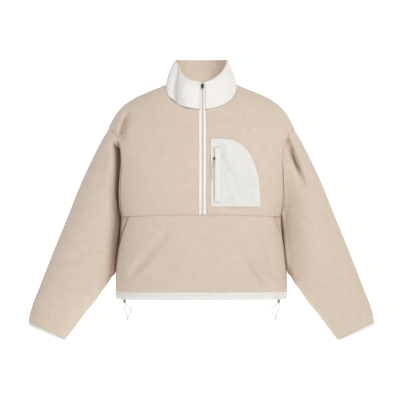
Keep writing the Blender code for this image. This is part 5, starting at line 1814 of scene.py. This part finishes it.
# ---------------------------------------------------------------- hem casing
@dataclass
class HemCasing:
    """The woven casing round the hem, puckered by the drawcord in it and by its seam."""

    body: BodyForm
    stitches: Stitches
    thickness: float = 0.0024
    swell: float = 0.0014
    pucker: float = 0.00085
    groove: float = 0.0006
    columns: int = 560
    rows: int = 12
    # waves of the gathers round the casing, and the spans of each one's place, slant and size
    waves: tuple[int, ...] = (23, 31, 47, 61, 73, 97, 118)
    chances: tuple[tuple[float, float], ...] = ((0.0, 6.28), (-1.6, 1.6), (0.5, 1.0))

    @property
    def turn(self) -> np.ndarray:
        """The angles round the casing, from the middle of the front."""
        return 2.0 * PI * np.arange(self.columns + 1) / self.columns

    def ring(self, z: float) -> np.ndarray:
        """A closed ring of points round the body at a height.

        Args:
            z: the height.

        Returns:
            The points.
        """
        side, forward = (np.sign(wave) * np.abs(wave) ** (2.0 / SQUARENESS)
                         for wave in (np.sin(self.turn), np.cos(self.turn)))
        depth = np.where(forward > 0.0, self.body.front(z), self.body.back(z))
        ring = np.stack([float(self.body.width(z)) * side, -depth * forward, np.full(len(side), z)], -1)
        ring[-1] = ring[0]
        return ring

    def puckers(self, share: np.ndarray) -> np.ndarray:
        """Short irregular gathers across the casing.

        Args:
            share: shares of the way down.

        Returns:
            Heights, shares by columns.
        """
        chance = np.random.default_rng(11)
        total = np.zeros((len(share), self.columns + 1))
        for waves in self.waves:
            phase, slant, size = (chance.uniform(*span) for span in self.chances)
            wave = np.sin(self.turn[None] * waves + phase + slant * share[:, None])
            total += size * wave / waves ** 0.35
        patch = 0.65 + 0.35 * np.sin(self.turn * 5.0 + 1.0) * np.sin(self.turn * 3.0 + 0.3)
        return total * patch[None] * self.pucker

    def build(self) -> None:
        """Makes the casing and the stitching along its top."""
        share = np.linspace(0.0, 1.0, self.rows + 1)
        top = HEM_TOP - SEAM - 0.0002
        outer = np.array([self.ring(float(z)) for z in top + (HEM_BOTTOM - top) * share])
        inward = inward_of(outer, closed=True)
        bulge = self.swell * np.sin(PI * share) ** 0.8 - self.groove * np.exp(-((share - 0.16) / 0.07) ** 2)
        gathers = self.puckers(share) * np.sin(PI * np.clip(share * 1.15, 0.0, 1.0))[:, None]
        outer = outer - inward * (bulge[:, None] + gathers)[..., None]
        for row in (0, -1):
            flatten(inward, row, slice(None), 2)
        sew(HEM_TAFFETA, "hem_casing", outer, inward, (1.12, 0.021), None, self.thickness, closed=True,
            rim=0.0009)
        self.stitches.row(outer[2], inward[2])


# ---------------------------------------------------------------- studio
@dataclass(frozen=True)
class Studio:
    """A pale floor and backdrop, soft light and the camera at the photograph's place."""

    distance: float = 9.6
    lens: float = 345.6
    centre: tuple[float, float] = (-0.00325, -0.2850)
    aim: tuple[float, float, float] = (0.0, 0.0, -0.30)
    world: float = 0.36
    floor: float = -3.0
    bend_at: float = 6.0
    bend_radius: float = 3.0
    # name, place, size, power, colour
    lamps: tuple[tuple[str, tuple[float, float, float], float, float, str], ...] = (
        ("key", (1.9, -2.5, 2.4), 1.8, 51.0, "FFFDFA"),
        ("fill", (-3.0, -3.4, 0.9), 3.0, 6.0, "F8FAFF"),
        ("top", (0.0, -1.6, 1.8), 1.4, 15.0, "FFFFFF"),
    )

    def camera(self) -> None:
        """A long lens straight in front, level with the garment's middle."""
        data = bpy.data.cameras.new("camera")
        data.lens = self.lens
        data.clip_end = 100.0
        item = add_object("camera", data)
        item.location = (self.centre[0], -self.distance, self.centre[1])
        item.rotation_euler = (PI / 2.0, 0.0, 0.0)
        bpy.context.scene.camera = item

    def light(self, name: str, place: tuple[float, float, float], size: float, power: float,
              colour: str) -> None:
        """A large soft light that looks at the garment.

        Args:
            name: its name.
            place: its place.
            size: its width, in metres.
            power: in watts.
            colour: as a hex code.
        """
        data = bpy.data.lights.new(name, "AREA")
        data.shape = "DISK"
        data.size, data.energy, data.color = size, power, to_linear(colour)[:3]
        item = add_object(name, data)
        item.location = place
        item.rotation_euler = (Vector(self.aim) - Vector(place)).to_track_quat("-Z", "Y").to_euler()

    def backdrop(self) -> None:
        """A floor that sweeps up into a wall far behind the garment."""
        work = bmesh.new()
        bmesh.ops.create_grid(work, x_segments=2, y_segments=48, size=0.5)
        for vert in work.verts:
            run = (vert.co.y + 0.5) * 40.0 - 22.0 - self.bend_at
            bend = min(max(run / self.bend_radius, 0.0), PI / 2.0)
            y = min(run, 0.0) + self.bend_at + self.bend_radius * math.sin(bend)
            z = self.bend_radius * (1.0 - math.cos(bend)) + max(run - self.bend_radius * PI / 2.0, 0.0)
            vert.co = (vert.co.x * 60.0, y, self.floor + z)
        item = add_object("backdrop", mesh_of("backdrop", work))
        item.data.materials.append(PAPER.material())

    def build(self) -> None:
        """Sets the camera, the backdrop and the lights."""
        self.camera()
        self.backdrop()
        world = bpy.data.worlds.new("studio")
        world.use_nodes = True
        back = next(part for part in world.node_tree.nodes if part.type == "BACKGROUND")
        back.inputs["Color"].default_value = to_linear("FFFFFF")
        back.inputs["Strength"].default_value = self.world
        bpy.context.scene.world = world
        bpy.context.scene.view_settings.view_transform = "Standard"
        for lamp in self.lamps:
            self.light(*lamp)


# ---------------------------------------------------------------- cords
# Strands from the casing down, as out to the side, back and height.
STRAIGHT_STRAND = (
    (0.0013, 0.0, -0.5365), (0.0012, 0.0003, -0.5440), (0.0006, 0.0008, -0.5530),
    (-0.0018, 0.0010, -0.5620), (-0.0052, 0.0003, -0.5690), (-0.0066, 0.0, -0.5724),
)
BOWED_STRAND = (
    (-0.0013, 0.0, -0.5365), (-0.0016, -0.0004, -0.5410), (-0.0090, -0.0020, -0.5475),
    (-0.0160, -0.0028, -0.5550), (-0.0172, -0.0026, -0.5610), (-0.0142, -0.0014, -0.5665),
    (-0.0107, -0.0004, -0.5697), (-0.0092, 0.0, -0.5711), (-0.0092, 0.0, -0.5724),
)
PULL_CORD = ((0.0310, -0.1875), (0.0288, -0.1945), (0.0270, -0.2020), (0.0262, -0.2110), (0.0260, -0.2200),
             (0.0262, -0.2280), (0.0270, -0.2360))


def smooth_route(points: np.ndarray, per_span: int = 6) -> np.ndarray:
    """Points along a smooth curve through a route's own points.

    Args:
        points: the route.
        per_span: how many points each of its spans gets.

    Returns:
        The points.
    """
    fine = []
    for i in range(len(points) - 1):
        p0, p1, p2, p3 = (points[min(max(i + k, 0), len(points) - 1)] for k in (-1, 0, 1, 2))
        for t in np.arange(per_span) / per_span:
            fine.append(0.5 * ((2.0 * p1) + (p2 - p0) * t + (2.0 * p0 - 5.0 * p1 + 4.0 * p2 - p3) * t * t
                               + (3.0 * p1 - p0 - 3.0 * p2 + p3) * t ** 3))
    return np.array([*fine, points[-1]])


@dataclass
class Cords:
    """The two loops of drawcord under the hem and the soft cord on the pocket's slider."""

    body: BodyForm
    radius: float = 0.0011
    pull_radius: float = 0.0009
    pull_lift: float = 2.0 * (WOVEN_WALL + TRIM_LIFT) + 0.0022
    ferrule_back: float = 0.0012

    def build(self) -> None:
        """Makes every cord."""
        for side, x in ((Side.LEFT, -0.1908), (Side.RIGHT, 0.1924)):
            y = float(self.body.point(x, HEM_BOTTOM, Face.FRONT)[1]) + self.ferrule_back
            end = frame["nodes"]["drawcord_end_" + side.word]
            for word, strand in (("straight", STRAIGHT_STRAND), ("bowed", BOWED_STRAND)):
                route = np.array(strand) * np.array([side.value, 1.0, 1.0]) + np.array([x, y, 0.0])
                self.cord("drawcord_" + side.word + "_" + word, route, self.radius, far_end="fitting",
                          stiffness="medium", with_pieces=[end])
        point, inward = self.body.surface(np.array(PULL_CORD), Face.FRONT)
        self.cord("pocket_pull_cord", point - inward * self.pull_lift, self.pull_radius, far_end="bare",
                  stiffness="limp")

    def cord(self, solid: str, route: np.ndarray, radius: float, **facts: object) -> None:
        """Args:
            solid: the solid that it stands for.
            route: its route.
            radius: its radius.
            facts: what else is said of it; not used.
        """
        fine = smooth_route(route)
        data = bpy.data.curves.new(solid, "CURVE")
        data.dimensions = "3D"
        data.bevel_depth = radius
        data.bevel_resolution = 3
        data.use_fill_caps = True
        line = data.splines.new("POLY")
        line.points.add(len(fine) - 1)
        for spot, point in zip(line.points, fine):
            spot.co = (*point, 1.0)
        item = add_object(solid + "_braid", data)
        settle(item, CORD, solid)


def dress_nodes() -> None:
    """Gives each solid that still shows its finish."""
    finishes = {item.slot: item for item in (FLEECE, TAFFETA, TAPE, COIL, GUNMETAL, EYELET, CORD_TIP, CORD)}
    for part in frame["record"]["subparts"]:
        item = frame["nodes"][part["node"]]
        if not item.hide_render:
            item.data.materials.clear()
            item.data.materials.append(finishes[part["material_slot"]].material())


def main() -> None:
    """Builds the studio and every piece of the garment."""
    body, cut = BodyForm(), Cut()
    Studio().build()
    Cords(body).build()
    panels = BodyPanels(body, cut, Armholes(body, cut))
    panels.build()
    Sleeve(Side.LEFT, body, panels).build()
    Sleeve(Side.RIGHT, body, panels, drop=0.0, deepest=-0.03, floor=0.0, slope=0.090, tuck=0.0,
           stand_off=0.0012).build()
    collar = Collar(body, cut)
    collar.build()
    trim_thread = Stitches("stitching_trim")
    fleece_thread = Stitches("stitching_fleece", FLEECE_THREAD)
    panels.topstitch(fleece_thread)
    fleece_thread.build()
    HalfZip(body, collar, trim_thread).build()
    ChestPocket(body, trim_thread).build()
    HemCasing(body, trim_thread).build()
    trim_thread.build()
    dress_nodes()


if __name__ == "__main__":
    main()
